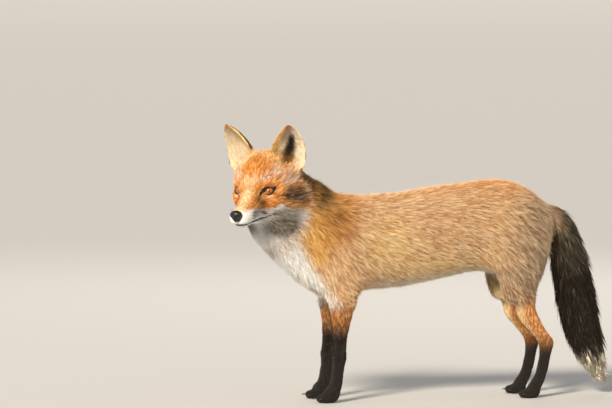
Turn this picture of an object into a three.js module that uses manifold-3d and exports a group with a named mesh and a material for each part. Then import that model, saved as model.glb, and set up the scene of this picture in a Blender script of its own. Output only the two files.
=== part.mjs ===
// A red fox that stands square with its head turned to its left: a still, life-size model in millimetres.
// +Z is up, the fox faces -X and its left is -Y. The solids follow the outside of the coat, and thin cuts
// part the body into the pieces that a person would name.
import * as THREE from "three";
import { mergeVertices } from "three/addons/utils/BufferGeometryUtils.js";
import Module from "manifold-3d";

const wasm = await Module();
wasm.setup();

// Driving dimensions
const GAP = 0.3; // between neighbouring pieces
const SEAT = 3.2 * GAP; // round a piece that sits in another, whose flat faces lie apart
const WITHERS = 377; // height of the back over the shoulders
const CROUP = 400; // highest point of the back, over the hips
const CHEST = 198; // lowest point of the chest
const FLANK = 227; // underside of the loin, where the fold of the flank starts
const RUMP_X = 424; // last station of the trunk, before the round of the buttocks
const ELBOW = 176;
const WRIST = 84;
const STIFLE = 180; // height of the knee's front
const HOCK = 98;
const FORE_HALF = 41; // from the midline to a foreleg
const HIND_HALF = 43; // from the midline to a hind leg
const EYE_HEIGHT = 382;
const HEAD_TURN = 50; // degrees to the left
const HEAD_DROP = 15; // degrees, nose down
const EYE_HALF = 28; // from the midline to the middle of an eyeball
const EYE_RADIUS = 9.5;
const EAR_HEIGHT = 110; // of the tips over the eyes, at right angles to the muzzle
const EAR_THICKNESS = 4.5;
const CLAW_RADIUS = 2.1;
const SIDES = { left: -1, right: 1 };

// Sizes of the cells that the surfaces are drawn with: finer where the form is.
const CELL = { torso: 20, neck: 16, head: 9.8, nose: 3.6, tail: 20, tailTip: 14, limb: 11.5, foot: 8.2 };

// ---- Fields: functions of a point, below zero in a shape and about the distance from it nearby

const vector = (p) => new THREE.Vector3(p[0], p[1], p[2]);

// A tapered tube through stations [x, y, z, deep, wide]: wide is the radius to the sides, deep the other.
function tube(stations) {
  const stepsEach = 5;
  const path = new THREE.CatmullRomCurve3(stations.map(vector));
  const radii = new THREE.CatmullRomCurve3(stations.map((s) => new THREE.Vector3(s[3], s[4], 0)));
  const count = (stations.length - 1) * stepsEach;
  const at = Array.from({ length: count + 1 }, (_, i) => path.getPoint(i / count));
  const r = Array.from({ length: count + 1 }, (_, i) => radii.getPoint(i / count));
  const span = new THREE.Vector3();
  const off = new THREE.Vector3();
  return (p) => {
    let least = Infinity;
    for (let i = 0; i < count; i++) {
      span.subVectors(at[i + 1], at[i]);
      off.subVectors(p, at[i]);
      const t = THREE.MathUtils.clamp(off.dot(span) / span.lengthSq(), 0, 1);
      off.addScaledVector(span, -t);
      const deep = THREE.MathUtils.lerp(r[i].x, r[i + 1].x, t);
      const wide = THREE.MathUtils.lerp(r[i].y, r[i + 1].y, t);
      const sideways = off.y;
      const across = Math.sqrt(Math.max(off.lengthSq() - sideways * sideways, 0));
      const reach = Math.hypot(sideways / wide, across / deep);
      const length = off.length();
      least = Math.min(least, reach > 1e-6 ? length * (1 - 1 / reach) : -Math.min(deep, wide));
    }
    return least;
  };
}

// An ellipsoid at a centre, with its radii along the axes.
function ellipsoid(centre, radii) {
  const c = vector(centre);
  const r = vector(radii);
  const off = new THREE.Vector3();
  return (p) => {
    off.subVectors(p, c);
    const length = off.length();
    const reach = off.divide(r).length();
    return reach > 1e-6 ? length * (1 - 1 / reach) : -Math.min(...radii);
  };
}

// Fields joined, with a fillet about as wide as the given size.
function blend(fillet, ...fields) {
  return (p) =>
    fields.reduce((a, field) => {
      const b = field(p);
      const h = Math.max(fillet - Math.abs(a - b), 0) / fillet;
      return Math.min(a, b) - (h * h * fillet) / 4;
    }, Infinity);
}

// A field with another taken out of it.
function carve(fillet, field, ...tools) {
  const inverse = blend(fillet, (p) => -field(p), ...tools);
  return (p) => -inverse(p);
}

const moved = (field, matrix) => (p) => field(p.clone().applyMatrix4(matrix));
const grown = (field, by) => (p) => field(p) - by;
const mirrored = (stations, s) => stations.map(([x, y, ...rest]) => [x, s * y, ...rest]);

// ---- Solids

// A closed surface where a field is zero, in a box of cubic cells, with a point in each cell that it crosses.
function surface(field, low, high, cell) {
  const n = low.map((v, i) => Math.ceil((high[i] - v) / cell) + 1);
  const stride = [1, n[0], n[0] * n[1]];
  const corner = (ijk) => ijk.reduce((sum, v, a) => sum + v * stride[a], 0);
  const place = (i, j, k) => new THREE.Vector3(i, j, k).multiplyScalar(cell).add(vector(low));
  const value = new Float32Array(n[0] * n[1] * n[2]);
  for (let k = 0; k < n[2]; k++)
    for (let j = 0; j < n[1]; j++)
      for (let i = 0; i < n[0]; i++) {
        const edge = [i, j, k].some((v, a) => v === 0 || v === n[a] - 1);
        value[corner([i, j, k])] = edge ? cell : field(place(i, j, k)) || 1e-4;
      }
  while (fillPinch(value, n, stride));
  const offsets = Array.from({ length: 8 }, (_, c) => [c & 1, (c >> 1) & 1, c >> 2]);
  const pointOf = new Map();
  const points = [];
  for (let k = 0; k < n[2] - 1; k++)
    for (let j = 0; j < n[1] - 1; j++)
      for (let i = 0; i < n[0] - 1; i++) {
        const v = offsets.map((o) => value[corner([i + o[0], j + o[1], k + o[2]])]);
        if (v.every((x) => x > 0) || v.every((x) => x < 0)) continue;
        pointOf.set(corner([i, j, k]), points.length);
        points.push(onSurface(field, place(i, j, k), v, offsets, cell));
      }
  const triangles = [];
  for (let k = 0; k < n[2] - 1; k++)
    for (let j = 0; j < n[1] - 1; j++)
      for (let i = 0; i < n[0] - 1; i++)
        for (let a = 0; a < 3; a++) {
          const here = corner([i, j, k]);
          const inside = value[here] < 0;
          if (inside === value[here + stride[a]] < 0) continue;
          const [b, c] = [stride[(a + 1) % 3], stride[(a + 2) % 3]];
          const ring = [here - b - c, here - c, here, here - b].map((id) => pointOf.get(id));
          if (!inside) ring.reverse();
          const [p, q, r, s] = ring.map((id) => points[id]);
          const halves = p.distanceTo(r) < q.distanceTo(s) ? [0, 1, 2, 0, 2, 3] : [0, 1, 3, 1, 2, 3];
          triangles.push(...halves.map((m) => ring[m]));
        }
  return new wasm.Manifold(
    new wasm.Mesh({
      numProp: 3,
      vertProperties: new Float32Array(points.flatMap((p) => p.toArray())),
      triVerts: new Uint32Array(triangles),
    })
  );
}

// Where only the diagonals of a cell's face are alike, the surface would touch itself along an edge. The
// nearer outside corner is taken in. Says whether there was one.
function fillPinch(value, n, stride) {
  let changed = false;
  for (let k = 0; k < n[2] - 1; k++)
    for (let j = 0; j < n[1] - 1; j++)
      for (let i = 0; i < n[0] - 1; i++)
        for (let a = 0; a < 3; a++) {
          const here = i + j * stride[1] + k * stride[2];
          const [b, c] = [stride[(a + 1) % 3], stride[(a + 2) % 3]];
          const face = [here, here + b, here + b + c, here + c];
          const [p, q, r, s] = face.map((id) => value[id] < 0);
          if (p !== r || q !== s || p === q) continue;
          const nearer = face.filter((id) => value[id] > 0).sort((m, o) => value[m] - value[o])[0];
          value[nearer] = -1e-4;
          changed = true;
        }
  return changed;
}

// The point of one cell: the middle of its crossed edges, then steps along the slope, all inside the cell.
function onSurface(field, base, v, offsets, cell) {
  const sum = new THREE.Vector3();
  let crossings = 0;
  offsets.forEach((o, c) =>
    [1, 2, 4].forEach((bit) => {
      if (c & bit || v[c] < 0 === v[c | bit] < 0) return;
      const t = v[c] / (v[c] - v[c | bit]);
      sum.add(vector(o).lerp(vector(offsets[c | bit]), t));
      crossings++;
    })
  );
  const p = sum.divideScalar(crossings).multiplyScalar(cell).add(base);
  const [low, high] = [0.06, 0.94].map((part) => base.clone().addScalar(part * cell));
  const probe = 0.5;
  for (let step = 0; step < 4; step++) {
    const slope = vector(
      ["x", "y", "z"].map((axis) => {
        const [a, b] = [p.clone(), p.clone()];
        a[axis] += probe;
        b[axis] -= probe;
        return (field(a) - field(b)) / (2 * probe);
      })
    );
    p.addScaledVector(slope, -field(p) / Math.max(slope.lengthSq(), 0.05)).clamp(low, high);
  }
  return p;
}

// A three.js geometry as a solid.
function solid(geometry) {
  const bare = geometry.clone();
  bare.deleteAttribute("normal");
  bare.deleteAttribute("uv");
  const merged = mergeVertices(bare, 1e-3);
  return new wasm.Manifold(
    new wasm.Mesh({
      numProp: 3,
      vertProperties: merged.attributes.position.array,
      triVerts: new Uint32Array(merged.index.array),
    })
  );
}

// The biggest of a solid's separate bodies.
const largest = (made) => made.decompose().sort((a, b) => b.volume() - a.volume())[0];

// A plane cut. Pieces on its two sides stop half a gap short of it.
function cut(point, normal) {
  const n = vector(normal).normalize();
  const at = n.dot(vector(point));
  return {
    ahead: (body) => body.trimByPlane(n.toArray(), at + GAP / 2),
    behind: (body) => body.trimByPlane(n.clone().negate().toArray(), GAP / 2 - at),
    inFrame: (matrix) => {
      const inverse = matrix.clone().invert();
      const turned = n.clone().transformDirection(inverse);
      return cut(vector(point).applyMatrix4(inverse).toArray(), turned.toArray());
    },
  };
}

// ---- Materials

const plain = (r, g, b, roughness) =>
  new THREE.MeshStandardMaterial({ color: new THREE.Color(r, g, b), roughness });
const coat = (r, g, b) => plain(r, g, b, 0.85);
const RUFOUS = coat(0.5, 0.24, 0.09);
const FACE = coat(0.56, 0.28, 0.1);
const PALE = coat(0.72, 0.66, 0.55);
const GREY_RUFOUS = coat(0.38, 0.25, 0.16);
const BRUSH = coat(0.16, 0.12, 0.1);
const STOCKING = coat(0.05, 0.04, 0.035);
const EYE = plain(0.6, 0.25, 0.03, 0.08);
const NOSE = plain(0.02, 0.016, 0.015, 0.4);
const CLAW = plain(0.06, 0.045, 0.035, 0.45);

function node(parent, name, body, material) {
  const { numProp, numVert, vertProperties, triVerts } = body.getMesh();
  const position = new Float32Array(numVert * 3);
  for (let i = 0; i < numVert; i++) {
    position.set(vertProperties.subarray(i * numProp, i * numProp + 3), i * 3);
  }
  const geometry = new THREE.BufferGeometry();
  geometry.setAttribute("position", new THREE.BufferAttribute(position, 3));
  geometry.setIndex(new THREE.BufferAttribute(new Uint32Array(triVerts), 1));
  geometry.computeVertexNormals();
  const mesh = new THREE.Mesh(geometry, material);
  mesh.name = name;
  parent.add(mesh);
  return mesh;
}

const fox = new THREE.Group();

// ---- Head: in a frame of its own, midway between the eyes, +X to the nose, +Y to the left, +Z up

const head = new THREE.Group();
head.position.set(-116, -71, EYE_HEIGHT);
head.rotation.set(
  0,
  THREE.MathUtils.degToRad(HEAD_DROP),
  THREE.MathUtils.degToRad(180 + HEAD_TURN),
  "ZYX"
);
fox.add(head);
head.updateMatrixWorld(true);
const toBody = head.matrixWorld.clone();
const toHead = toBody.clone().invert();

const EYE_X = -9;
const NOSE_X = 70.5;
const NOSE_Z = -21;
const MOUTH = { tipX: 84, tipZ: -39.5, cornerX: -4, cornerZ: -45 };

const skull = ellipsoid([-40, 0, 9], [46, 42, 43]);
const crest = ellipsoid([-58, 0, 29], [30, 27, 34]);
const muzzle = tube([
  [-16, 0, -6, 29, 31],
  [6, 0, -13, 24, 27],
  [28, 0, -21, 18.5, 19],
  [50, 0, -26, 15, 16],
  [64, 0, -27, 12.5, 15.5],
]);
const jaw = tube([
  [-30, 0, -44, 17, 26],
  [0, 0, -44, 13, 20],
  [30, 0, -42.5, 9.5, 13],
  [58, 0, -42, 7.5, 9.5],
]);
const bothSides = (build) => Object.values(SIDES).map((s) => build(-s));
const brows = bothSides((s) => ellipsoid([-7, s * 23, 13], [15, 13, 10]));
const cheekbones = bothSides((s) => ellipsoid([-24, s * 34, -12], [24, 15, 17]));
const ruffs = bothSides((s) =>
  tube(
    mirrored(
      [
        [-34, 26, -26, 26, 20],
        [-52, 44, -32, 24, 16],
        [-66, 57, -35, 17, 12],
      ],
      s
    )
  )
);
const hollows = bothSides((s) => ellipsoid([EYE_X + 12.5, s * (EYE_HALF + 7.5), 1], [9, 9.5, 8]));
const whiskerPads = bothSides((s) => ellipsoid([52, s * 12, -30], [20, 9, 10]));
const earRoots = bothSides((s) => ellipsoid([-82, s * 36, 8], [24, 23, 27]));
const temples = bothSides((s) => ellipsoid([-48, s * 38, 15], [25, 17, 22]));
const cranium = blend(20, blend(12, skull, crest, muzzle, ...cheekbones, ...temples), ...ruffs, ...earRoots);
const headMass = blend(9, cranium, jaw, ...brows, ...whiskerPads);
const headField = carve(5, headMass, ...hollows);

// ---- Body fields

// The trunk's stations: how far back, the height of the back, the height of the belly and half the width.
const trunk = tube(
  [
    [48, WITHERS - 13, CHEST + 6, 58],
    [80, WITHERS - 8, CHEST + 1, 63],
    [125, WITHERS - 3, CHEST, 67],
    [185, WITHERS + 1, CHEST + 6, 68],
    [245, CROUP - 12, CHEST + 18, 64],
    [300, CROUP - 7, FLANK, 58],
    [350, CROUP, FLANK, 56],
    [392, CROUP - 15, FLANK + 26, 52],
    [RUMP_X, CROUP - 39, FLANK + 49, 40],
  ].map(([x, top, bottom, wide]) => [x, 0, (top + bottom) / 2, (top - bottom) / 2, wide])
);
const neck = tube([
  [72, 0, 284, 75, 58],
  [28, -3, 297, 76, 59],
  [-18, -10, 326, 79, 57],
  [-48, -17, 355, 67, 56],
  [-68, -26, 378, 52, 50],
]);
const bib = tube([
  [50, 0, 206, 26, 36],
  [13, -1, 229, 28, 40],
  [-34, -8, 282, 29, 40],
]);

// Each leg runs from inside the trunk down to the wrist or hock, and its foot from there to the toes.
const FORE = {
  half: FORE_HALF,
  limb: [
    [84, 32, 322, 38, 24],
    [48, 38, 262, 36, 26],
    [60, FORE_HALF, 214, 34, 23],
    [57, FORE_HALF, 172, 23, 18],
    [54, FORE_HALF, 122, 14.5, 14],
    [51, FORE_HALF, WRIST, 13.5, 13.5],
  ],
  foot: [
    [51, FORE_HALF, WRIST, 13.5, 13.5],
    [48, FORE_HALF, 52, 12, 13],
    [43, FORE_HALF, 27, 12.5, 15],
    [34, FORE_HALF, 16, 13, 18],
  ],
  toeX: 16,
  heelX: 38,
  backX: 110,
  claw: 13,
};
const HIND = {
  half: HIND_HALF,
  limb: [
    [404, 36, 312, 50, 24],
    [398, 40, 264, 50, 28],
    [388, HIND_HALF, 226, 44, 27],
    [388, HIND_HALF, 194, 32, 23],
    [400, HIND_HALF, 160, 20, 17],
    [424, HIND_HALF, 124, 14.5, 12.5],
    [440, HIND_HALF, HOCK + 4, 14, 11],
  ],
  foot: [
    [440, HIND_HALF, HOCK + 4, 14, 11],
    [436, HIND_HALF, 70, 11.5, 10.5],
    [428, HIND_HALF, 38, 11, 12],
    [416, HIND_HALF, 17, 12, 17],
  ],
  toeX: 396,
  heelX: 418,
  backX: 464,
  claw: 11,
};
const legField = (leg, s) => tube(mirrored(leg.limb, s));

// Four toes spread from the foot, the middle two longer, over one broad pad.
const TOES = [-1.5, -0.5, 0.5, 1.5];
const TOE_SPACING = 8.6;
function toePlace(leg, s, toe) {
  const outer = Math.abs(toe) > 1;
  return [leg.toeX + (outer ? 7 : 0), s * leg.half + toe * TOE_SPACING, outer ? 8 : 8.6];
}
const footField = (leg, s) =>
  blend(
    5,
    tube(mirrored(leg.foot, s)),
    ellipsoid([leg.heelX - 4, s * leg.half, 8], [14, 15, 9]),
    ...TOES.map((toe) => ellipsoid(toePlace(leg, s, toe), [12, 5.8, 9]))
  );

// The brush hangs from the croup, a little to the right.
const tail = tube(
  [
    [440, 336, 30, 24],
    [464, 328, 27, 23],
    [483, 300, 31, 28],
    [495, 255, 35, 33],
    [505, 208, 38, 36],
    [514, 160, 38, 37],
    [526, 112, 35, 34],
    [541, 72, 27, 27],
    [555, 42, 15, 15],
    [562, 29, 8, 8],
  ].map(([x, z, deep, wide], i) => [x, i * 0.6, z, deep, wide])
);

const limbs = Object.values(SIDES).flatMap((s) => [legField(FORE, s), legField(HIND, s)]);
const torso = blend(26, trunk, neck, bib, ...limbs);
const wholeHead = blend(22, moved(headField, toHead), neck);
const front = blend(16, wholeHead, torso); // the head, the neck and all that they grow from

// ---- Cuts

const neckCut = cut([-42, -14, 352], [-0.78, -0.42, 0.46]);
const shoulderCut = cut([30, 0, 300], [-0.86, 0, 0.5]);
const tailTipCut = cut([530, 0, 92], [0.42, 0, -0.91]);
const elbowCut = cut([0, 0, ELBOW], [0, 0, -1]);
const thighCut = cut([350, 0, 240], [0.55, 0, -0.84]);
const stifleCut = cut([394, 0, STIFLE], [0.3, 0, -0.95]);
const wristCut = cut([0, 0, WRIST], [0, 0, -1]);
const hockCut = cut([0, 0, HOCK], [0, 0, -1]);
const floorCut = cut([0, 0, GAP / 2], [0, 0, 1]); // the soles are its flats
const midCut = cut([0, 0, 0], [0, 1, 0]);

// ---- Trunk, neck and tail

const TORSO_BOX = [
  [-56, -110.5, 126],
  [488, 110.5, 432],
];
const wholeTorso = surface(torso, ...TORSO_BOX, CELL.torso);
const trunkBody = [shoulderCut, elbowCut, thighCut].reduce((body, each) => each.behind(body), wholeTorso);
node(fox, "trunk", largest(trunkBody), RUFOUS);

const wholeNeck = surface(front, [-150, -104, 172], [126, 92, 464], CELL.neck);
node(fox, "neck", neckCut.behind(shoulderCut.ahead(wholeNeck)), PALE);

const rump = surface(grown(torso, SEAT), ...TORSO_BOX, CELL.torso);
const wholeTail = surface(tail, [408, -64, -4], [600, 64, 388], CELL.tail).subtract(rump);
node(fox, "tail", largest(tailTipCut.behind(wholeTail)), BRUSH);
const wholeTip = surface(tail, [484, -55, 4], [594, 66, 125], CELL.tailTip);
node(fox, "tail_tip", tailTipCut.ahead(wholeTip), PALE);

// ---- Legs

// A claw: a cone that curves down to its tip.
function clawSolid(at, length) {
  const cone = new THREE.ConeGeometry(CLAW_RADIUS, length, 5, 2);
  cone.rotateZ(Math.PI / 2);
  const position = cone.attributes.position;
  for (let i = 0; i < position.count; i++) {
    const along = 0.5 - position.getX(i) / length;
    position.setZ(i, position.getZ(i) * 1.25 - 0.32 * length * along * along);
  }
  cone.translate(...at);
  return solid(cone);
}

// The half of the torso on one side.
const torsoHalf = (s) => (s < 0 ? midCut.behind(wholeTorso) : midCut.ahead(wholeTorso));

// The shank of a leg, between two cuts.
function addShank(leg, s, name, upperCut, lowerCut, low, high, material) {
  const reach = leg.half + 36;
  const box = [
    [leg.toeX - 14, s < 0 ? -reach : 3, low - 16],
    [leg.backX, s < 0 ? -3 : reach, high + 40],
  ];
  const whole = surface(blend(6, torso, footField(leg, s)), ...box, CELL.limb);
  node(fox, name, largest(lowerCut.behind(upperCut.ahead(whole))), material);
}

// A foot below its cut, with a claw on each toe.
function addFoot(leg, s, name, upperCut, height) {
  const field = blend(6, legField(leg, s), footField(leg, s));
  const box = [
    [leg.toeX - 20, s * leg.half - 28, -14],
    [leg.heelX + 46, s * leg.half + 28, height + 12],
  ];
  node(fox, name, floorCut.ahead(upperCut.ahead(surface(field, ...box, CELL.foot))), STOCKING);
  const grownFoot = surface(grown(field, SEAT), ...box, CELL.foot);
  TOES.forEach((toe, i) => {
    const [x, y, z] = toePlace(leg, s, toe);
    const claw = clawSolid([x - 11.5, y, z + 0.5], leg.claw);
    node(fox, `claw_${name}_${i + 1}`, largest(claw.subtract(grownFoot)), CLAW);
  });
}

for (const [side, s] of Object.entries(SIDES)) {
  addShank(FORE, s, `foreleg_${side}`, elbowCut, wristCut, WRIST, ELBOW, STOCKING);
  addFoot(FORE, s, `forepaw_${side}`, wristCut, WRIST);
  node(fox, `thigh_${side}`, largest(stifleCut.behind(thighCut.ahead(torsoHalf(s)))), GREY_RUFOUS);
  addShank(HIND, s, `hindleg_${side}`, stifleCut, hockCut, HOCK, STIFLE, GREY_RUFOUS);
  addFoot(HIND, s, `hindpaw_${side}`, hockCut, HOCK);
}

// ---- Head, lower jaw, ears, eyes and nose

const frontInHead = (p) => front(p.clone().applyMatrix4(toBody));
const HEAD_BOX = [
  [-150, -98, -137],
  [92, 98, 88],
];
const headCutHere = neckCut.inFrame(toBody);
const fullHead = headCutHere.ahead(surface(frontInHead, ...HEAD_BOX, CELL.head));
const fullHeadGrown = surface(grown(frontInHead, SEAT), ...HEAD_BOX, CELL.head);

// The region of the lower jaw: a wedge below the mouth line and in front of its corner, grown by a little.
function jawRegion(by) {
  const slope = (MOUTH.tipZ - MOUTH.cornerZ) / (MOUTH.tipX - MOUTH.cornerX);
  const outline = new THREE.Shape([
    new THREE.Vector2(MOUTH.cornerX - by, MOUTH.cornerZ + by - slope * by),
    new THREE.Vector2(MOUTH.cornerX - by, -80),
    new THREE.Vector2(100, -80),
    new THREE.Vector2(100, MOUTH.cornerZ + slope * (100 - MOUTH.cornerX) + by),
  ]);
  const wedge = new THREE.ExtrudeGeometry(outline, { depth: 80, bevelEnabled: false });
  wedge.translate(0, 0, -40);
  wedge.rotateX(Math.PI / 2);
  return solid(wedge);
}

const eyePlace = (s) => [EYE_X, s * EYE_HALF, 0];
function eyeball(s, radius) {
  const ball = new THREE.SphereGeometry(radius, 12, 8);
  ball.translate(...eyePlace(s));
  return solid(ball);
}

// The leather of the nose: a rounded pad, broad on top, with a dent at each nostril.
const nostrils = bothSides((s) => ellipsoid([NOSE_X + 9.5, s * 7, NOSE_Z - 1.5], [5.5, 4.6, 4]));
const nosePad = blend(
  5,
  ellipsoid([NOSE_X, 0, NOSE_Z + 1], [8.5, 11.5, 8.5]),
  ellipsoid([NOSE_X - 1, 0, NOSE_Z - 6], [8, 5, 6])
);
const noseField = (p) => Math.max(nosePad(p), ...nostrils.map((nostril) => -nostril(p) * 0.8));
const noseBox = [
  [NOSE_X - 15, -17.6, NOSE_Z - 19],
  [NOSE_X + 17, 17.6, NOSE_Z + 16.2],
];
const noseSolid = surface(noseField, ...noseBox, CELL.nose);

const withoutNose = (b) => b.subtract(surface(grown(nosePad, SEAT), ...noseBox, CELL.nose));
let upperHead = withoutNose(fullHead.subtract(jawRegion(GAP / 2)));
for (const s of Object.values(SIDES)) upperHead = upperHead.subtract(eyeball(s, EYE_RADIUS + GAP));
node(head, "head", upperHead, FACE);
node(head, "lower_jaw", withoutNose(fullHead.intersect(jawRegion(-GAP / 2))), PALE);
node(head, "nose", noseSolid, NOSE);

// An ear: a thick sheet bent round between its inner and outer margins, with its hollow facing forward and
// outward. The root is buried in the fur of the crown.
const INNER_MARGIN = [
  [-46, 14, 34],
  [-50, 17, 60],
  [-51, 34, 88],
  [-52, 57, EAR_HEIGHT],
];
const OUTER_MARGIN = [
  [-50, 54, 8],
  [-68, 76, 28],
  [-73, 80, 60],
  [-65, 74, 91],
  [-54, 63, EAR_HEIGHT - 1],
];
const EAR_DEPTHS = [27, 26, 21, 13, 2]; // from the plane of the margins to the back, from root to tip
const RIGHT_EAR_LEAN = 7; // how much further out the tip of the right ear lies

function earSheet(s) {
  const lean = s < 0 ? RIGHT_EAR_LEAN : 0;
  const splayed = ([x, y, z]) => new THREE.Vector3(x, s * (y + lean * (z / EAR_HEIGHT) ** 2), z);
  const curve = (points) => new THREE.CatmullRomCurve3(points.map(splayed));
  const [inner, outer] = [curve(INNER_MARGIN), curve(OUTER_MARGIN)];
  const depths = new THREE.CatmullRomCurve3(EAR_DEPTHS.map((d) => new THREE.Vector3(d, 0, 0)));
  // The place at u, from root to tip, and v, from -1 on the inner margin to 1 on the outer.
  return (u, v, inset) => {
    const [from, to] = [inner.getPoint(u), outer.getPoint(u)];
    const half = to.clone().sub(from).multiplyScalar(0.5);
    const rise = inner.getTangent(u).add(outer.getTangent(u)).normalize();
    const back = new THREE.Vector3().crossVectors(half, rise).multiplyScalar(-s).normalize();
    const turn = (v * Math.PI) / 2;
    const shrink = Math.max(half.length() - inset, 0.4) / half.length();
    return from
      .add(half)
      .addScaledVector(half, Math.sin(turn) * shrink)
      .addScaledVector(back, Math.max(depths.getPoint(u).x - inset, 0.3) * Math.cos(turn) - inset * 0.2);
  };
}

function earSolid(s) {
  const rows = 8;
  const columns = 8;
  const sheet = earSheet(s);
  const points = [];
  for (const inset of [0, EAR_THICKNESS])
    for (let i = 0; i <= rows; i++)
      for (let j = 0; j <= columns; j++) {
        const v = (2 * j) / columns - 1;
        const rim = Math.min(1, (1 - Math.abs(v)) * 3 + 0.35);
        const top = Math.min(1, (1 - i / rows) * 4 + 0.25);
        points.push(sheet(i / rows, v, inset * rim * top));
      }
  const layer = (rows + 1) * (columns + 1);
  const id = (side, i, j) => side * layer + i * (columns + 1) + j;
  const faces = [];
  const quad = (a, b, c, d) => faces.push(a, b, c, a, c, d);
  for (let i = 0; i < rows; i++)
    for (let j = 0; j < columns; j++) {
      quad(id(0, i, j), id(0, i, j + 1), id(0, i + 1, j + 1), id(0, i + 1, j));
      quad(id(1, i, j), id(1, i + 1, j), id(1, i + 1, j + 1), id(1, i, j + 1));
    }
  for (let i = 0; i < rows; i++) {
    quad(id(0, i, 0), id(0, i + 1, 0), id(1, i + 1, 0), id(1, i, 0));
    quad(id(0, i + 1, columns), id(0, i, columns), id(1, i, columns), id(1, i + 1, columns));
  }
  for (let j = 0; j < columns; j++) {
    quad(id(0, 0, j + 1), id(0, 0, j), id(1, 0, j), id(1, 0, j + 1));
    quad(id(0, rows, j), id(0, rows, j + 1), id(1, rows, j + 1), id(1, rows, j));
  }
  if (s > 0) faces.reverse(); // the mirrored ear is wound the other way
  const geometry = new THREE.BufferGeometry();
  const places = points.flatMap((p) => p.toArray());
  geometry.setAttribute("position", new THREE.Float32BufferAttribute(places, 3));
  geometry.setIndex(faces);
  return solid(geometry);
}

for (const [name, side] of Object.entries(SIDES)) {
  const s = -side; // the head's own +Y is the fox's left
  node(head, `eye_${name}`, eyeball(s, EYE_RADIUS), EYE);
  node(head, `ear_${name}`, largest(earSolid(s).subtract(fullHeadGrown)), FACE);
}

// The frame's origin is the middle of the bounding box, at the soles.
fox.updateMatrixWorld(true);
const bounds = new THREE.Box3().setFromObject(fox, true);
const middle = bounds.getCenter(new THREE.Vector3());
fox.position.set(-middle.x, -middle.y, -bounds.min.z);

export default fox;
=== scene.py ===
"""A life-size standing red fox, finished as a museum model: hide, coat, eyes, nose, claws and whiskers."""

from math import cos, pi, radians, sin

import bmesh
import bpy
import numpy as np
from mathutils import Matrix, Vector
from mathutils.bvhtree import BVHTree
from mathutils.kdtree import KDTree


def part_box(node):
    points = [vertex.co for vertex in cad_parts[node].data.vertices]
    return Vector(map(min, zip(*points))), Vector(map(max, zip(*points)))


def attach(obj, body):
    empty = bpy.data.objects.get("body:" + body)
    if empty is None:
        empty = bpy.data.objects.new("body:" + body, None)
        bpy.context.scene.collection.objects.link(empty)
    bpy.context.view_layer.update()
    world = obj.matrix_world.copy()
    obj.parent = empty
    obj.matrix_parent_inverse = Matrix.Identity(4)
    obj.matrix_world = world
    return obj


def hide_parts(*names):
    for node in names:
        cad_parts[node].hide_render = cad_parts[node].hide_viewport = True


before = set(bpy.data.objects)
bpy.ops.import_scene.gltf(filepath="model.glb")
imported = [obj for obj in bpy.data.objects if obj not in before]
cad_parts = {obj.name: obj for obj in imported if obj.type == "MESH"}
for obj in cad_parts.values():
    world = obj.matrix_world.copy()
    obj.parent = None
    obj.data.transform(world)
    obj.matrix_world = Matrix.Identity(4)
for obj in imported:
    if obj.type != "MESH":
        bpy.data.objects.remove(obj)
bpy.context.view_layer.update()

# ---- The hide ----
# The fox's skin is one piece of tanned leather from nose to tail, drawn over all the parts of the body, so
# nothing shows between them. It is fused from those parts, and lies under the coat by the fur's depth.

FLESH = sorted(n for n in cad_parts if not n.startswith(("eye", "nose", "claw")))
SWELL = 0.0011  # each part grows by this, which closes the thin cuts between them
HIDE_GRAIN = 0.0035
LID_COVER = 0.0012  # the lids lie over the eyeball by this
WELD = 1e-5  # corners nearer than this are one


def mesh_from(shape, name):
    """The mesh of a finished bmesh, which is then let go."""
    mesh = bpy.data.meshes.new(name)
    shape.to_mesh(mesh)
    shape.free()
    return mesh


def smooth_piece(name, mesh):
    """Puts a mesh in the scene as a smoothly shaded piece."""
    mesh.polygons.foreach_set("use_smooth", [True] * len(mesh.polygons))
    piece = bpy.data.objects.new(name, mesh)
    bpy.context.scene.collection.objects.link(piece)
    return piece


def swollen(node, by):
    """A part's closed mesh, grown evenly outwards."""
    part = bmesh.new()
    part.from_mesh(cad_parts[node].data)
    bmesh.ops.remove_doubles(part, verts=part.verts, dist=WELD)
    part.normal_update()
    for vertex in part.verts:
        vertex.co += vertex.normal * by
    return mesh_from(part, f"{node}_swollen")


def fused(meshes, grain):
    """One even mesh round all that the given meshes enclose."""
    heap = bmesh.new()
    for mesh in meshes:
        heap.from_mesh(mesh)
    form = bpy.data.objects.new("form", mesh_from(heap, "heap"))
    bpy.context.scene.collection.objects.link(form)
    remesh = form.modifiers.new("fuse", "REMESH")
    remesh.mode = "VOXEL"
    remesh.voxel_size = grain
    graph = bpy.context.evaluated_depsgraph_get()
    result = bpy.data.meshes.new_from_object(form.evaluated_get(graph))
    bpy.data.objects.remove(form)
    return result


def largest_shell(mesh):
    """A bmesh of the mesh's largest connected shell."""
    body = bmesh.new()
    body.from_mesh(mesh)
    unseen = set(body.verts)
    shells = []
    while unseen:
        edge_of_known = [unseen.pop()]
        shell = []
        while edge_of_known:
            vertex = edge_of_known.pop()
            shell.append(vertex)
            for edge in vertex.link_edges:
                other = edge.other_vert(vertex)
                if other in unseen:
                    unseen.remove(other)
                    edge_of_known.append(other)
        shells.append(shell)
    shells.sort(key=len)
    for shell in shells[:-1]:
        bmesh.ops.delete(body, geom=shell, context="VERTS")
    return body


swollen_parts = [swollen(node, SWELL) for node in FLESH]
swollen_parts += [swollen(f"eye_{side}", LID_COVER) for side in ("left", "right")]
hide_mesh = mesh_from(largest_shell(fused(swollen_parts, HIDE_GRAIN)), "hide")


def positions(mesh):
    """The mesh's vertices as an array."""
    flat = np.empty(len(mesh.vertices) * 3)
    mesh.vertices.foreach_get("co", flat)
    return flat.reshape(-1, 3)


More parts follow.
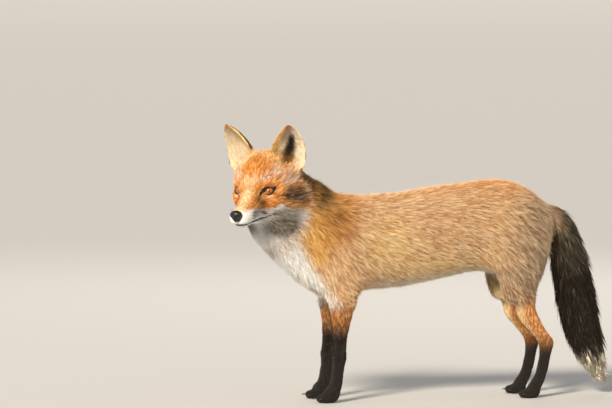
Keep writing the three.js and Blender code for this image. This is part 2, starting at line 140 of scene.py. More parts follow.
def edge_ends(mesh):
    """The two vertex numbers of each edge."""
    flat = np.empty(len(mesh.edges) * 2, int)
    mesh.edges.foreach_get("vertices", flat)
    return flat.reshape(-1, 2)


def relaxed(values, edges, strength, rounds):
    """Values at the vertices, each drawn towards its neighbours' mean by its own strength."""
    ends = np.concatenate([edges, edges[:, ::-1]])
    neighbours = np.maximum(np.bincount(ends[:, 0], minlength=len(values)), 1)[:, None]
    strength = np.broadcast_to(np.asarray(strength, float).reshape(-1, 1), (len(values), 1))
    for _ in range(rounds):
        total = np.stack(
            [np.bincount(ends[:, 0], column[ends[:, 1]], len(values)) for column in values.T], 1
        )
        values = values + (total / neighbours - values) * strength
    return values


# Which region a point of the hide belongs to comes from the nearest part of the body, with soft borders.
REGIONS = {
    "trunk": ["trunk"],
    "neck": ["neck"],
    "head": ["head", "lower_jaw"],
    "ears": ["ear_left", "ear_right"],
    "tail": ["tail", "tail_tip"],
    "thighs": ["thigh_left", "thigh_right"],
    "legs": ["foreleg_left", "foreleg_right", "hindleg_left", "hindleg_right"],
    "feet": ["forepaw_left", "forepaw_right", "hindpaw_left", "hindpaw_right"],
}
BORDER_SOFTNESS, BORDER_ROUNDS = 0.5, 14

part_vertices, part_faces, face_region = [], [], []
for region, nodes in enumerate(REGIONS.values()):
    for node in nodes:
        start = len(part_vertices)
        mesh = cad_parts[node].data
        part_vertices += [vertex.co.copy() for vertex in mesh.vertices]
        part_faces += [[start + i for i in face.vertices] for face in mesh.polygons]
        face_region += [region] * len(mesh.polygons)
part_tree = BVHTree.FromPolygons(part_vertices, part_faces)


def region_shares(points, edges):
    """For each point, how far it belongs to each region, as shares that add up to one."""
    shares = np.zeros((len(points), len(REGIONS)))
    for row, point in enumerate(points):
        shares[row, face_region[part_tree.find_nearest(point)[2]]] = 1
    return relaxed(shares, edges, BORDER_SOFTNESS, BORDER_ROUNDS)


hide_points, hide_edges = positions(hide_mesh), edge_ends(hide_mesh)
shares = region_shares(hide_points, hide_edges)


def shared(shares, amounts):
    """One number for each point, mixed from an amount for each region."""
    return shares @ np.array([amounts[region] for region in REGIONS])


def share_of(shares, region):
    """How far each point belongs to one region."""
    return shares[:, list(REGIONS).index(region)]


def smooth_step(values, low, high):
    """0 below low, 1 above high, and a soft rise between."""
    t = np.clip((np.asarray(values, float) - low) / (high - low), 0, 1)
    return t * t * (3 - 2 * t)


def smooth_fall(values, start, end):
    """1 below start, 0 above end, and a soft fall between."""
    return smooth_step(-np.asarray(values, float), -end, -start)


def unit(vectors):
    """The vectors at length 1."""
    return vectors / np.maximum(np.linalg.norm(vectors, axis=1), 1e-9)[:, None]


def bump(points, centre, reach):
    """A soft spot: 1 at its centre and nearly 0 at its reach, which may differ along each axis."""
    return np.exp(-2 * (((points - np.array(centre)) / np.array(reach)) ** 2).sum(1))


def vertex_normals(mesh):
    """The mesh's vertex normals as an array."""
    flat = np.empty(len(mesh.vertices) * 3)
    mesh.vertex_normals.foreach_get("vector", flat)
    return flat.reshape(-1, 3)


def move_to(mesh, points):
    """Puts the mesh's vertices at new places."""
    mesh.vertices.foreach_set("co", np.ascontiguousarray(points, float).ravel())
    mesh.update()


# The head is turned and dipped on the neck, so what belongs to the face is placed on axes of its own:
# forward along the muzzle, the fox's left, and up, from a point midway between the eyes, in millimetres.
MM = 0.001
NOSE_SLOPE = radians(15.4)  # how far the nose pad lies below the level line through the eyes
EYES_BACK = 9.0  # the eyes' centres lie this far behind the head's zero point


def middle(node):
    """The middle of a part's box."""
    low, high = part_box(node)
    return (low + high) / 2


eye_places = {side: middle(f"eye_{side}") for side in ("left", "right")}
eye_radius = (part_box("eye_left")[1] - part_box("eye_left")[0]).z / 2
leftward = (eye_places["left"] - eye_places["right"]).normalized()
between_eyes = (eye_places["left"] + eye_places["right"]) / 2
to_nose = middle("nose") - between_eyes
to_nose = (to_nose - leftward * to_nose.dot(leftward)).normalized()
forward = Matrix.Rotation(-NOSE_SLOPE, 3, leftward) @ to_nose
upward = forward.cross(leftward)
head_zero = between_eyes + forward * (EYES_BACK * MM)
head_axes = np.array([forward, leftward, upward])


def in_head(points):
    """Points of the model in the head's axes, in millimetres."""
    return (np.asarray(points) - np.array(head_zero)) @ head_axes.T / MM


def from_head(points):
    """Points given in the head's axes, in the model's frame."""
    return np.array(head_zero) + np.asarray(points, float) * MM @ head_axes


SOFTENING = {"trunk": 0.6, "neck": 0.55, "head": 0.3, "ears": 0.12, "tail": 0.6, "thighs": 0.6,
             "legs": 0.3, "feet": 0.0}
SOFTENING_ROUNDS = 22
REFILLING, REFILLING_ROUNDS = 0.6, 16  # what the softening takes off the bulk is put back evenly
FUR_DEPTH = {"trunk": 7.5, "neck": 9, "head": 1.5, "ears": 1.2, "tail": 12, "thighs": 6.5,
             "legs": 2.6, "feet": 1.1}  # in millimetres
RUFF_DEPTH = 4.5  # the cheeks' fur is deeper by this
RUFF_START, RUFF_FULL = 25, 70  # how far behind the eyes the ruff begins and has its full depth
SWELL_REMOVED = 0.8  # the share of the parts' swelling that is taken off again

unsoftened = hide_points
hide_points = relaxed(hide_points, hide_edges, shared(shares, SOFTENING), SOFTENING_ROUNDS)
move_to(hide_mesh, hide_points)
hide_normals = vertex_normals(hide_mesh)
lost = ((unsoftened - hide_points) * hide_normals).sum(1)[:, None]
hide_points = hide_points + hide_normals * relaxed(lost, hide_edges, REFILLING, REFILLING_ROUNDS)
cheeks = share_of(shares, "head") * smooth_step(-in_head(hide_points)[:, 0], RUFF_START, RUFF_FULL)
depth = (shared(shares, FUR_DEPTH) + RUFF_DEPTH * cheeks) * MM
move_to(hide_mesh, hide_points - hide_normals * (depth + SWELL * SWELL_REMOVED)[:, None])


def refine(mesh, chosen):
    """Halves the edges between the vertices that chosen, a test of an array of points, picks."""
    picked = chosen(positions(mesh))
    fine = bmesh.new()
    fine.from_mesh(mesh)
    edges = [e for e in fine.edges if picked[e.verts[0].index] and picked[e.verts[1].index]]
    bmesh.ops.subdivide_edges(fine, edges=edges, cuts=1, use_grid_fill=True, smooth=0.2)
    bmesh.ops.triangulate(fine, faces=[f for f in fine.faces if len(f.verts) > 4])
    fine.to_mesh(mesh)
    fine.free()


# The toes: the hide of each foot follows every toe and pad closely, with a groove between the toes.
TOES_TOP = 46  # the toes' sizes are in millimetres
TOES_BLEND = 12  # the hide follows the foot fully from this far below the toes' top
TOE_GROOVE, TOE_GROOVE_WIDTH = 3.4, 2.2
GROOVE_DROP = 0.8  # how far a groove goes down, for each millimetre that it goes back
GROOVE_BACK = (14, 24)  # a groove fades out between these distances behind the toes' front
GROOVE_TOP = (16, 24)  # and between these heights
GROOVE_SOLE = (6, 14)  # below these heights a groove doesn't go down, so the sole stays flat
LONGEST_TOE = 0.03
TOE_SOFTNESS, SOFTENED_UP_TO = 0.2, 0.8  # and the share of the toes' height that it covers in full
PAWS = ("forepaw_left", "forepaw_right", "hindpaw_left", "hindpaw_right")
refine(hide_mesh, lambda points: points[:, 2] < TOES_TOP * MM)
toe_points = positions(hide_mesh)
for row in np.flatnonzero(toe_points[:, 2] < TOES_TOP * MM):
    place, facing, _, _ = part_tree.find_nearest(toe_points[row])
    close = smooth_step(TOES_TOP - toe_points[row, 2] / MM, 0, TOES_BLEND)
    toe_points[row] += (np.array(place - facing * FUR_DEPTH["feet"] * MM) - toe_points[row]) * close
for paw in PAWS:
    toes = [middle(f"claw_{paw}_{toe}") for toe in (1, 2, 3, 4)]
    front = min(toe.x for toe in toes)
    for one, other in zip(toes, toes[1:]):
        groove = (one.y + other.y) / 2
        over = np.exp(-(((toe_points[:, 1] - groove) / (TOE_GROOVE_WIDTH * MM)) ** 2))
        over *= smooth_fall((toe_points[:, 0] - front) / MM, *GROOVE_BACK)
        over *= smooth_fall(toe_points[:, 2] / MM, *GROOVE_TOP)
        over *= toe_points[:, 0] < front + LONGEST_TOE
        toe_points[:, 0] += over * TOE_GROOVE * MM
        clear_of_sole = smooth_step(toe_points[:, 2] / MM, *GROOVE_SOLE)
        toe_points[:, 2] -= over * TOE_GROOVE * GROOVE_DROP * MM * clear_of_sole
toe_softness = TOE_SOFTNESS * smooth_fall(toe_points[:, 2], TOES_TOP * MM * SOFTENED_UP_TO, TOES_TOP * MM)
move_to(hide_mesh, relaxed(toe_points, edge_ends(hide_mesh), toe_softness, 2))

# The face is made finer than the body, and finer still in rings round the eyes.
FINE_FACE_BACK, FINE_FACE_LOW = -14, -50
FINE_RINGS = (17, 15, 13.5)


def on_the_face(points):
    """Which points lie on the front of the face, from the chin up."""
    forwards, _, up = in_head(points).T
    return (forwards > FINE_FACE_BACK) & (up > FINE_FACE_LOW)


refine(hide_mesh, on_the_face)
for reach in FINE_RINGS:
    for place in eye_places.values():
        refine(hide_mesh, lambda points: np.linalg.norm(points - np.array(place), axis=1) < reach * MM)

# The lids: an almond opening over each eyeball, its inner corner low and drawn out towards the nose.
OPENING_FACES = {"left": (0.80, 0.55, 0.24), "right": (0.80, -0.55, 0.24)}  # outwards, in the head's axes
OPENING_SLANT = radians(15)
OPENING_TOE_IN = 0.9  # how far the inner corner turns towards the nose
OPENING_HALF_WIDTH, UPPER_OPENING, LOWER_OPENING = 8.6, 4.4, 4.0
LID_THICKNESS, LID_THINNING = 1.5, 0.5  # and how much thinner the lid is away from its edge
LID_RECESS = 2.4  # inside the opening the hide passes this far under the ball's surface
LID_REACH = 6  # the lids end this far from the ball
FOLD_DEPTH, FOLD_AWAY = 0.9, 3.6  # the upper lid's fold, and how far it lies from the opening
RIM_HEIGHT, RIM_AWAY, RIM_SPREAD = 0.5, 0.8, 0.6  # the raised edge of both lids
EYE_MM = eye_radius / MM


class Eye:
    """One eye's own axes: outwards, towards the inner corner, and up, from the eyeball's centre."""

    def __init__(self, side):
        self.side = side
        self.centre = np.array(eye_places[side])
        self.out = np.array(OPENING_FACES[side]) @ head_axes
        self.out /= np.linalg.norm(self.out)
        slanted = cos(OPENING_SLANT) * head_axes[0] - sin(OPENING_SLANT) * head_axes[2]
        inner = slanted - head_axes[1] * (OPENING_TOE_IN if side == "left" else -OPENING_TOE_IN)
        inner -= self.out * (inner @ self.out)
        self.inner = inner / np.linalg.norm(inner)
        rise = np.cross(self.out, self.inner)
        self.up = rise * np.sign(rise @ head_axes[2])

    def over(self, points):
        """Distance from the centre, and the place over the ball: inwards, up and outwards, in mm."""
        from_centre = (points - self.centre) / MM
        distance = np.linalg.norm(from_centre, axis=1)
        way = unit(from_centre)
        return distance, way @ self.inner * EYE_MM, way @ self.up * EYE_MM, way @ self.out * EYE_MM

    def beyond_rim(self, inwards, up, grow):
        """How far past the almond, grown by some millimetres, a place over the ball lies; below 0 inside."""
        height = np.where(up > 0, UPPER_OPENING + grow * 1.1, LOWER_OPENING + grow * 0.9)
        return np.abs(up) / height + (inwards / (OPENING_HALF_WIDTH + grow * 1.6)) ** 2 - 1

    def beyond_opening(self, inwards, up):
        """How far a place over the ball lies outside the almond, in mm; below 0 inside it."""
        across = np.clip(inwards / OPENING_HALF_WIDTH, -1, 1)
        arch = 1 - across**2
        height = np.where(up > 0, UPPER_OPENING, LOWER_OPENING) * arch
        past_corner = np.hypot(np.abs(inwards) - OPENING_HALF_WIDTH, up)
        return np.where(np.abs(inwards) < OPENING_HALF_WIDTH, np.abs(up) - height, past_corner)


eyes = [Eye(side) for side in eye_places]


def with_lids(points, eye):
    """The hide's points with one eye opened and its lids laid over the ball."""
    distance, inwards, up, outwards = eye.over(points)
    beyond = eye.beyond_opening(inwards, up)
    near = (distance < EYE_MM + LID_REACH) & (outwards > 0.5)
    thickness = LID_THICKNESS - LID_THINNING * smooth_step(beyond, 1, 4)
    thickness -= FOLD_DEPTH * np.exp(-((beyond - FOLD_AWAY) ** 2)) * (up > 0)
    lid = np.maximum(distance, EYE_MM + thickness)
    lid += RIM_HEIGHT * np.exp(-((beyond - RIM_AWAY) ** 2) / RIM_SPREAD)
    new_distance = np.where(beyond < 0, EYE_MM - LID_RECESS, lid)
    scale = np.where(near, new_distance / np.maximum(distance, 1e-9), 1)
    return eye.centre + (points - eye.centre) * scale[:, None]


# The closed mouth: a groove along the line of the lips, given as distances along the head, and heights.
MOUTH_LINE = ((-12, -6, 4, 30, 50, 72, 84), (-43, -45, -46.5, -45, -42.5, -39, -38.5))
MOUTH_CORNER, LIP_GROOVE, LIP_HALF_WIDTH = -11.0, 1.7, 1.5
JAW_UNDERSIDE = -54


def beside_mouth(points, corner_start, corner_end):
    """Heights over the lips' line, and how far a point lies in front of the mouth's corner."""
    forwards, _, up = in_head(points).T
    along = smooth_step(forwards, MOUTH_CORNER - corner_start, MOUTH_CORNER + corner_end)
    return up - np.interp(forwards, *MOUTH_LINE), along * (up > JAW_UNDERSIDE)


fine_points = positions(hide_mesh)
for eye in eyes:
    fine_points = with_lids(fine_points, eye)
above_mouth, at_mouth = beside_mouth(fine_points, 2, 3)
lips = np.exp(-((above_mouth / LIP_HALF_WIDTH) ** 2)) * at_mouth
fine_points = fine_points - vertex_normals(hide_mesh) * (lips * LIP_GROOVE * MM)[:, None]
move_to(hide_mesh, fine_points)

hide = smooth_piece("hide", hide_mesh)
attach(hide, "root")
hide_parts(*FLESH)

# ---- The coat's colours ----
# Hide and hair carry the same markings. Each kind of hair has three shades: its own, the pale one of its
# banded tips, and the deep one of its underfur. Marks are laid over the ground colour of each region.
# Some marks are painted shade: under the white of the face, on the neck under the jaw and at the nape, behind
# the cheeks, and in the left ear.


def shade(code):
    """A web colour code as linear red, green and blue."""
    values = np.array([int(code[i : i + 2], 16) / 255 for i in (1, 3, 5)])
    return np.where(values <= 0.04045, values / 12.92, ((values + 0.055) / 1.055) ** 2.4)


HAIR = {  # own shade, pale tips, deep underfur
    "tan": ("#e3a962", "#ffedc6", "#863f1c"),
    "russet": ("#d68334", "#f8c888", "#7e3a16"),
    "honey": ("#f1c974", "#fff0c4", "#a8682a"),
    "chestnut": ("#b3621f", "#e8ae68", "#552a10"),
    "amber": ("#e19a34", "#fddc8e", "#8c4e12"),
    "gold": ("#ffd074", "#fff0c0", "#e09a40"),
    "white": ("#fafaf8", "#ffffff", "#e4e0d6"),
    "grizzle": ("#7e6046", "#e2c9a8", "#382316"),
    # the next colour is painted shadow, laid over the white where the head shades the face and neck
    "painted_shade": ("#544c3e", "#8b806e", "#2b251c"),
    "slate": ("#483f31", "#7d735e", "#241e15"),
    # the next colour is the nape's dark fur, also used as painted shadow behind the cheeks and on the nape
    "nape": ("#33200b", "#5e431c", "#160d04"),
    "cream": ("#ecd09a", "#fcefcd", "#c9985a"),
    "blush": ("#dcb394", "#fdf0e2", "#8e5f40"),
    "orange": ("#d27f28", "#f6bc6c", "#93470f"),
    "flame": ("#f0841f", "#ffc474", "#a8480a"),
    "umber": ("#5c3115", "#94663c", "#2a1608"),
    "greybrown": ("#3a2416", "#8c6e56", "#1b1009"),
    "soot": ("#1c1512", "#39302b", "#0b0807"),
    "brush": ("#17110b", "#3a3024", "#0a0704"),
    "ivory": ("#e6dbc4", "#f9f2e2", "#ab9c80"),
    "ear_cream": ("#f7e9ca", "#fffae8", "#dcbc8a"),
    "ear_shadow": ("#170a05", "#2c160b", "#090402"),
}
HAIR_SHADES = {name: np.array([shade(code) for code in codes]) for name, codes in HAIR.items()}
GROUND = {"trunk": "tan", "neck": "amber", "head": "orange", "ears": "orange", "tail": "brush",
          "thighs": "grizzle", "legs": "soot", "feet": "soot"}

# Marks on the face: the hair, the middle and the reach in the head's axes (the same on both sides), and
# how far the mark covers what lies under it.
FACE_MARKS = [
    ("cream", (-60, 0, 54), (30, 20, 22), 0.6),
    ("umber", (-92, 0, 44), (20, 30, 20), 0.4),
    ("flame", (-6, 0, 34), (22, 14, 16), 0.55),
    ("gold", (-46, 17, 49), (20, 11, 12), 0.45),
    ("orange", (-24, 10, 42), (18, 14, 14), 0.7),
    ("gold", (-62, 44, 30), (14, 14, 14), 0.6),
    ("cream", (-40, 30, 36), (14, 10, 9), 0.5),
    ("gold", (-58, 48, 20), (16, 12, 14), 0.6),
    ("blush", (-3, 26, 23), (16, 11, 8), 0.75),
    ("blush", (-25, 36, 28), (20, 14, 10), 0.7),
    ("blush", (-34, 50, 10), (24, 16, 13), 0.8),
    ("blush", (-50, 54, 18), (16, 14, 16), 0.6),
    # the cheeks' own grey-brown fur behind the eyes, darkened further with painted shade
    ("greybrown", (-27, 54, -14), (20, 15, 16), 1.0),
    ("greybrown", (-44, 62, -20), (19, 15, 20), 1.0),
    # dark fur behind the cheek, deepened with painted shadow where the head shades the neck
    ("nape", (-86, 66, -4), (22, 18, 32), 0.95),
    ("flame", (1, 30, -16), (17, 12, 9), 0.9),
    ("flame", (-18, 42, -3), (8, 8, 12), 0.7),
    ("flame", (-8, 32, 15), (12, 10, 4), 0.6),
    ("cream", (1, 30, -8.5), (10, 7, 3), 0.9),
    ("umber", (21, 18, -7), (9, 8, 10), 0.9),
    ("umber", (14, 23, -17), (10, 8, 9), 0.9),
    ("cream", (30, 0, 0), (34, 12.5, 17), 1.0),
    ("cream", (2, 6, 18), (18, 11, 12), 0.75),
    ("cream", (56, 0, -13), (20, 13, 12), 0.95),
]
# Painted shadow on the under side of the white, where the head shades its own cheeks, jaw and muzzle, given
# in the same way.
CHEEK_SHADOWS = [
    ("painted_shade", (-22, 36, -66), (44, 48, 32), 0.95),
    ("painted_shade", (-24, 48, -44), (32, 24, 15), 0.7),
    ("painted_shade", (-4, 38, -40), (20, 18, 10), 0.65),
    ("painted_shade", (28, 18, -30), (26, 12, 10), 0.4),
]
# Marks drawn out along a line: the hair, points on the line, the half width and the cover.
CHEEK_STROKES = [
    ("ivory", [(-54, 57, 6), (-57, 65, -15), (-56, 74, -40)], 3, 0.5),
    ("umber", [(-67, 58, 10), (-70, 66, -15), (-69, 78, -38)], 8, 0.9),
]
# The edge of the bridge, the dark rows that the whiskers stand in, and the spot over the mouth's corner.
MUZZLE_STROKES = [
    ("orange", [(50, 12, -14), (30, 14, -9), (14, 17, 4)], 2.5, 0.5),
    ("umber", [(44, 15, -23), (33, 18, -26), (20, 21, -29)], 0.9, 0.6),
    ("umber", [(46, 14, -28), (34, 17, -31), (20, 19, -34)], 0.9, 0.6),
    ("umber", [(44, 13, -33), (32, 15, -36), (18, 17, -38)], 0.9, 0.5),
    ("umber", [(8, 18, -35), (3, 19, -38)], 3.2, 0.85),
]
# Marks on one side only: painted shadow in and before the left ear's hollow with gold and cream hair beside
# it, and cream on the right ear's root.
ONE_SIDE_MARKS = [
    ("ear_shadow", (-63, 35, 34), (15, 8, 12), 1.0),
    ("ear_shadow", (-78, 42, 42), (15, 12, 15), 1.0),
    ("gold", (-52, 24, 40), (10, 7, 10), 0.8),
    ("gold", (-60, 20, 46), (14, 9, 12), 0.8),
    ("ear_cream", (-72, 55, 23), (10, 9, 9), 0.85),
    ("ear_cream", (-80, -46, 42), (20, 14, 16), 0.95),
]
# The white of the lips and cheeks begins below this line: distances along the head, and heights. It fades
# out between two distances behind the eyes, and between two distances from the head's middle plane.
WHITE_LINE = ((-90, -57, -33, -20, -9, -3, 12, 30, 52, 64, 80),
              (-44, -41, -42, -35, -25, -31, -29, -22, -17, -18, -18))
WHITE_BACK, WHITE_SIDE = (60, 76), (64, 76)
SPOT_STRENGTH = 1.5  # a spot covers fully round its middle, and not at its very centre only


def beside(points, path):
    """How far points lie from a line through the points of a path."""
    nearest = np.full(len(points), 1e9)
    for start, end in zip(np.array(path[:-1], float), np.array(path[1:], float)):
        way = end - start
        part = np.clip((points - start) @ way / (way @ way), 0, 1)[:, None]
        nearest = np.minimum(nearest, np.linalg.norm(points - start - part * way, axis=1))
    return nearest


def laid_over(ground, hair, mask):
    """The ground's shades with another hair's laid over them."""
    mask = mask[:, None, None]
    return ground * (1 - mask) + HAIR_SHADES[hair] * mask


def with_spots(ground, points, marks):
    """The ground's shades with soft spots of other hair."""
    for hair, centre, reach, cover in marks:
        mask = np.minimum(1, SPOT_STRENGTH * bump(points, centre, reach))
        ground = laid_over(ground, hair, mask * cover)
    return ground


def with_strokes(ground, points, strokes):
    """The ground's shades with soft lines of other hair."""
    for hair, path, half_width, cover in strokes:
        mask = smooth_fall(beside(points, path), 0.5 * half_width, 1.5 * half_width)
        ground = laid_over(ground, hair, mask * cover)
    return ground


def both_sides_as_one(face):
    """Points in the head's axes, with those of the right side mirrored to the left."""
    return np.stack([face[:, 0], np.abs(face[:, 1]), face[:, 2]], 1)


def painted_head(points, ground):
    """The three hair shades at points of the head, over the ground colour."""
    face = in_head(points)
    folded = both_sides_as_one(face)
    ground = with_spots(ground, folded, FACE_MARKS)
    ground = with_strokes(ground, folded, CHEEK_STROKES)
    ground = with_spots(ground, face, ONE_SIDE_MARKS)
    white = smooth_step(np.interp(face[:, 0], *WHITE_LINE) - face[:, 2], -4, 4.5)
    white = white * smooth_fall(-face[:, 0], *WHITE_BACK) * smooth_fall(folded[:, 1], *WHITE_SIDE)
    ground = laid_over(ground, "white", white)
    # painted shadow on the under side of the white, the same on both sides
    ground = with_spots(ground, folded, CHEEK_SHADOWS)
    return with_strokes(ground, folded, MUZZLE_STROKES)


# Marks on the body: the hair, the middle (along, up) and the reach in millimetres, and the cover.
BODY_MARKS = [
    ("russet", (-100, 395), (130, 40), 0.8),
    ("russet", (60, 402), (150, 34), 0.85),
    ("russet", (190, 402), (90, 40), 0.5),
    ("chestnut", (-166, 328), (40, 46), 0.8),
    ("chestnut", (-146, 356), (36, 26), 0.5),
    ("umber", (-172, 345), (14, 22), 0.5),
    ("honey", (-75, 290), (66, 50), 0.75),
    ("honey", (40, 245), (120, 36), 0.6),
    ("grizzle", (210, 290), (66, 68), 0.85),
    ("grizzle", (160, 262), (40, 60), 0.4),
    ("russet", (40, 205), (170, 26), 0.45),
    ("cream", (276, 346), (12, 26), 0.6),
    ("slate", (290, 312), (24, 28), 0.85),
    ("grizzle", (225, 350), (64, 48), 0.75),
]
BODY_SPOT_STRENGTH = 1.4
BIB_LEVEL, BIB_EDGE, BIB_SLOPE = 280, -219, -0.66  # the bib's edge at a height, and how it slopes
BIB_BOTTOM = (130, 200)  # the bib fades in between these heights
# Where the painted shadows lie under the jaw and on the left of the nape.
THROAT_SHADOW = ((-268, 318), (44, 34))  # middle and reach
NAPE_SHADOW = ((-212, 388), (25, 42))
NAPE_HEIGHT, NAPE_FRONT = (352, 384), -172
BELLY_HEIGHT = (235, 260)
INNER_SIDE_HEIGHT = (205, 235)
midline = middle("trunk").y


def side_spot(x, z, centre, reach):
    """A soft spot on the body as seen from its side: 1 at its centre and nearly 0 at its reach."""
    return np.exp(-2 * (((x - centre[0]) / reach[0]) ** 2 + ((z - centre[1]) / reach[1]) ** 2))


def painted_body(points, normals, ground):
    """The three hair shades at points of the trunk, neck and thighs, over the ground colour."""
    x, y, z = (points / MM).T
    for hair, centre, reach, cover in BODY_MARKS:
        spot = np.minimum(1, BODY_SPOT_STRENGTH * side_spot(x, z, centre, reach))
        ground = laid_over(ground, hair, spot * cover)
    # the bib: white over the throat and breast, before a line that slopes backwards as it goes down
    bib = smooth_step(BIB_EDGE + BIB_SLOPE * (z - BIB_LEVEL) - x, -12, 14) * smooth_step(z, *BIB_BOTTOM)
    ground = laid_over(ground, "white", bib)
    # painted shadow where the head shades the neck: under the jaw and on the nape, strongest on the fox's
    # left; on the nape it lies over dark fur
    shaded_left = smooth_step(midline / MM - y, -20, 20)
    throat_shadow = np.minimum(1, BODY_SPOT_STRENGTH * side_spot(x, z, *THROAT_SHADOW))
    ground = laid_over(ground, "painted_shade", throat_shadow * bib * (0.3 + 0.6 * shaded_left))
    nape = smooth_step(z, *NAPE_HEIGHT) * smooth_step(NAPE_FRONT - x, -12, 18)
    ground = laid_over(ground, "nape", nape * (0.45 + 0.45 * shaded_left))
    nape_shadow = np.minimum(1, BODY_SPOT_STRENGTH * side_spot(x, z, *NAPE_SHADOW))
    ground = laid_over(ground, "nape", nape_shadow * shaded_left)
    belly = smooth_step(-normals[:, 2], 0.45, 0.9) * smooth_fall(z, *BELLY_HEIGHT)
    ground = laid_over(ground, "ivory", belly * 0.8)
    # the inner sides of the thighs and of the upper arms are pale
    inward = -normals[:, 1] * np.sign(y - midline / MM)
    inner_side = smooth_step(inward, 0.1, 0.6) * smooth_fall(z, *INNER_SIDE_HEIGHT)
    return laid_over(ground, "cream", inner_side * 0.9)


# The margins of an ear: heights, and how far forward and outward the inner and the outer margin lie there.
INNER_MARGIN = ((34, 60, 88, 110), (-46, -50, -51, -52), (14, 17, 34, 57))
OUTER_MARGIN = ((8, 28, 60, 91, 109), (-50, -68, -73, -65, -54), (54, 76, 80, 74, 63))
EAR_HEIGHT, RIGHT_EAR_LEAN = 110, 7  # the right ear's tip leans outwards by this more than the left's
EAR_FACES = (0.80, 0.55)  # the way an ear's opening faces: forwards and outwards
# The dark hollow, painted as shadow on the left ear: its middle as a share of the way across at one height,
# its shift above that, and half widths.
HOLLOW_MIDDLE, HOLLOW_LEVEL, HOLLOW_SHIFT = 0.50, 45, 0.0035
HOLLOW_WIDTHS = ((20, 50, 92), (0.30, 0.24, 0.08))
HOLLOW_FOOT, HOLLOW_TOP = (8, 20), (76, 94)
GOLDEN_MARGIN = (0.16, 0.32)
RIGHT_MARGIN_SHARE = 0.6  # on the right ear the golden margin is wider, and reaches as far at this share


def over_ear(points, normals):
    """Heights on an ear, shares of the way from its inner to its outer margin, and how far it faces out."""
    face, facing = in_head(points), normals @ head_axes.T
    side = np.sign(face[:, 1])
    height = face[:, 2]
    lean = RIGHT_EAR_LEAN * (side < 0) * (height / EAR_HEIGHT) ** 2
    place = np.stack([face[:, 0], np.abs(face[:, 1]) - lean], 1)
    inner, outer = [
        np.stack([np.interp(height, heights, forwards), np.interp(height, heights, outwards)], 1)
        for heights, forwards, outwards in (INNER_MARGIN, OUTER_MARGIN)
    ]
    span = outer - inner
    across = ((place - inner) * span).sum(1) / (span**2).sum(1)
    opening = EAR_FACES[0] * facing[:, 0] + EAR_FACES[1] * facing[:, 1] * side
    return height, across, opening


def painted_ears(points, normals, ground):
    """Cream inside with a golden inner margin, a rusty tip, and black behind; the left ear's hollow is
    darkened with painted shadow.
    """
    height, across, opening = over_ear(points, normals)
    inside = smooth_step(opening, -0.2, 0.2)
    left = in_head(points)[:, 1] > 0
    from_hollow = across - HOLLOW_MIDDLE - np.clip(height - HOLLOW_LEVEL, -20, 50) * HOLLOW_SHIFT
    hollow = smooth_fall(np.abs(from_hollow) / np.interp(height, *HOLLOW_WIDTHS), 0.35, 1.1)
    hollow = hollow * smooth_step(height, *HOLLOW_FOOT) * smooth_fall(height, *HOLLOW_TOP) * left
    flecks = smooth_step(height, 60, 80) * smooth_fall(across, 0.5, 0.7) * 0.5
    golden = np.where(left, across, across * RIGHT_MARGIN_SHARE)
    margin = (1 - smooth_step(golden, *GOLDEN_MARGIN)) * smooth_step(opening, -0.5, -0.2)
    behind = smooth_step(-(normals @ head_axes.T)[:, 0], -0.35, 0.05)
    ground = laid_over(ground, "soot", (1 - inside) * behind * smooth_step(height, 8, 34))
    ground = laid_over(ground, "ear_cream", inside)
    ground = laid_over(ground, "umber", flecks * inside * np.where(left, 1, 0.3))
    # painted shadow in the left ear's hollow, over its own darker skin; the right ear has none
    ground = laid_over(ground, "ear_shadow", hollow * inside)
    ground = laid_over(ground, "gold", np.exp(-(((opening - 0.05) / 0.2) ** 2)) * 0.7)
    ground = laid_over(ground, "gold", margin)
    return laid_over(ground, "orange", smooth_step(height, 90, 106) * 0.8)


# Heights between which the stockings fade out, the hind legs' pale front fades in, and the brush pales.
HIND_STOCKING_TOP, FORE_STOCKING_TOP, HIND_FRONT = (78, 128), (112, 182), (96, 140)
BRUSH_GREYING, BRUSH_TIP, BRUSH_ROOT = (230, 320), (80, 112), (335, 365)


def painted(points, normals, shares):
    """The three hair shades at each point: an array of points by shades by colours."""
    share = {name: shares[:, i, None, None] for i, name in enumerate(REGIONS)}
    ground = sum(share[name] * HAIR_SHADES[GROUND[name]] for name in REGIONS)
    x, _, z = (points / MM).T
    on_legs = (share["legs"] + share["feet"])[:, 0, 0]
    above = np.where(x > 0, smooth_step(z, *HIND_STOCKING_TOP), smooth_step(z, *FORE_STOCKING_TOP))
    ground = laid_over(ground, "russet", above * on_legs)
    front = smooth_step(-normals[:, 0], 0.1, 0.7) * (x > 0) * smooth_step(z, *HIND_FRONT)
    ground = laid_over(ground, "cream", front * on_legs * 0.8)
    on_tail = share["tail"][:, 0, 0]
    ground = laid_over(ground, "slate", smooth_step(z, *BRUSH_GREYING) * on_tail)
    ground = laid_over(ground, "ivory", smooth_fall(z, *BRUSH_TIP) * on_tail)
    tail_root = share["tail"] * smooth_step(z, *BRUSH_ROOT)[:, None, None]
    on_body = share["trunk"] + share["neck"] + share["thighs"] + tail_root
    coloured = ground * (1 - on_body) + painted_body(points, normals, ground) * on_body
    coloured = coloured * (1 - share["head"]) + painted_head(points, coloured) * share["head"]
    return coloured * (1 - share["ears"]) + painted_ears(points, normals, coloured) * share["ears"]


hide_points, hide_edges = positions(hide_mesh), edge_ends(hide_mesh)
hide_normals = vertex_normals(hide_mesh)
shares = region_shares(hide_points, hide_edges)
hide_shades = painted(hide_points, hide_normals, shares)

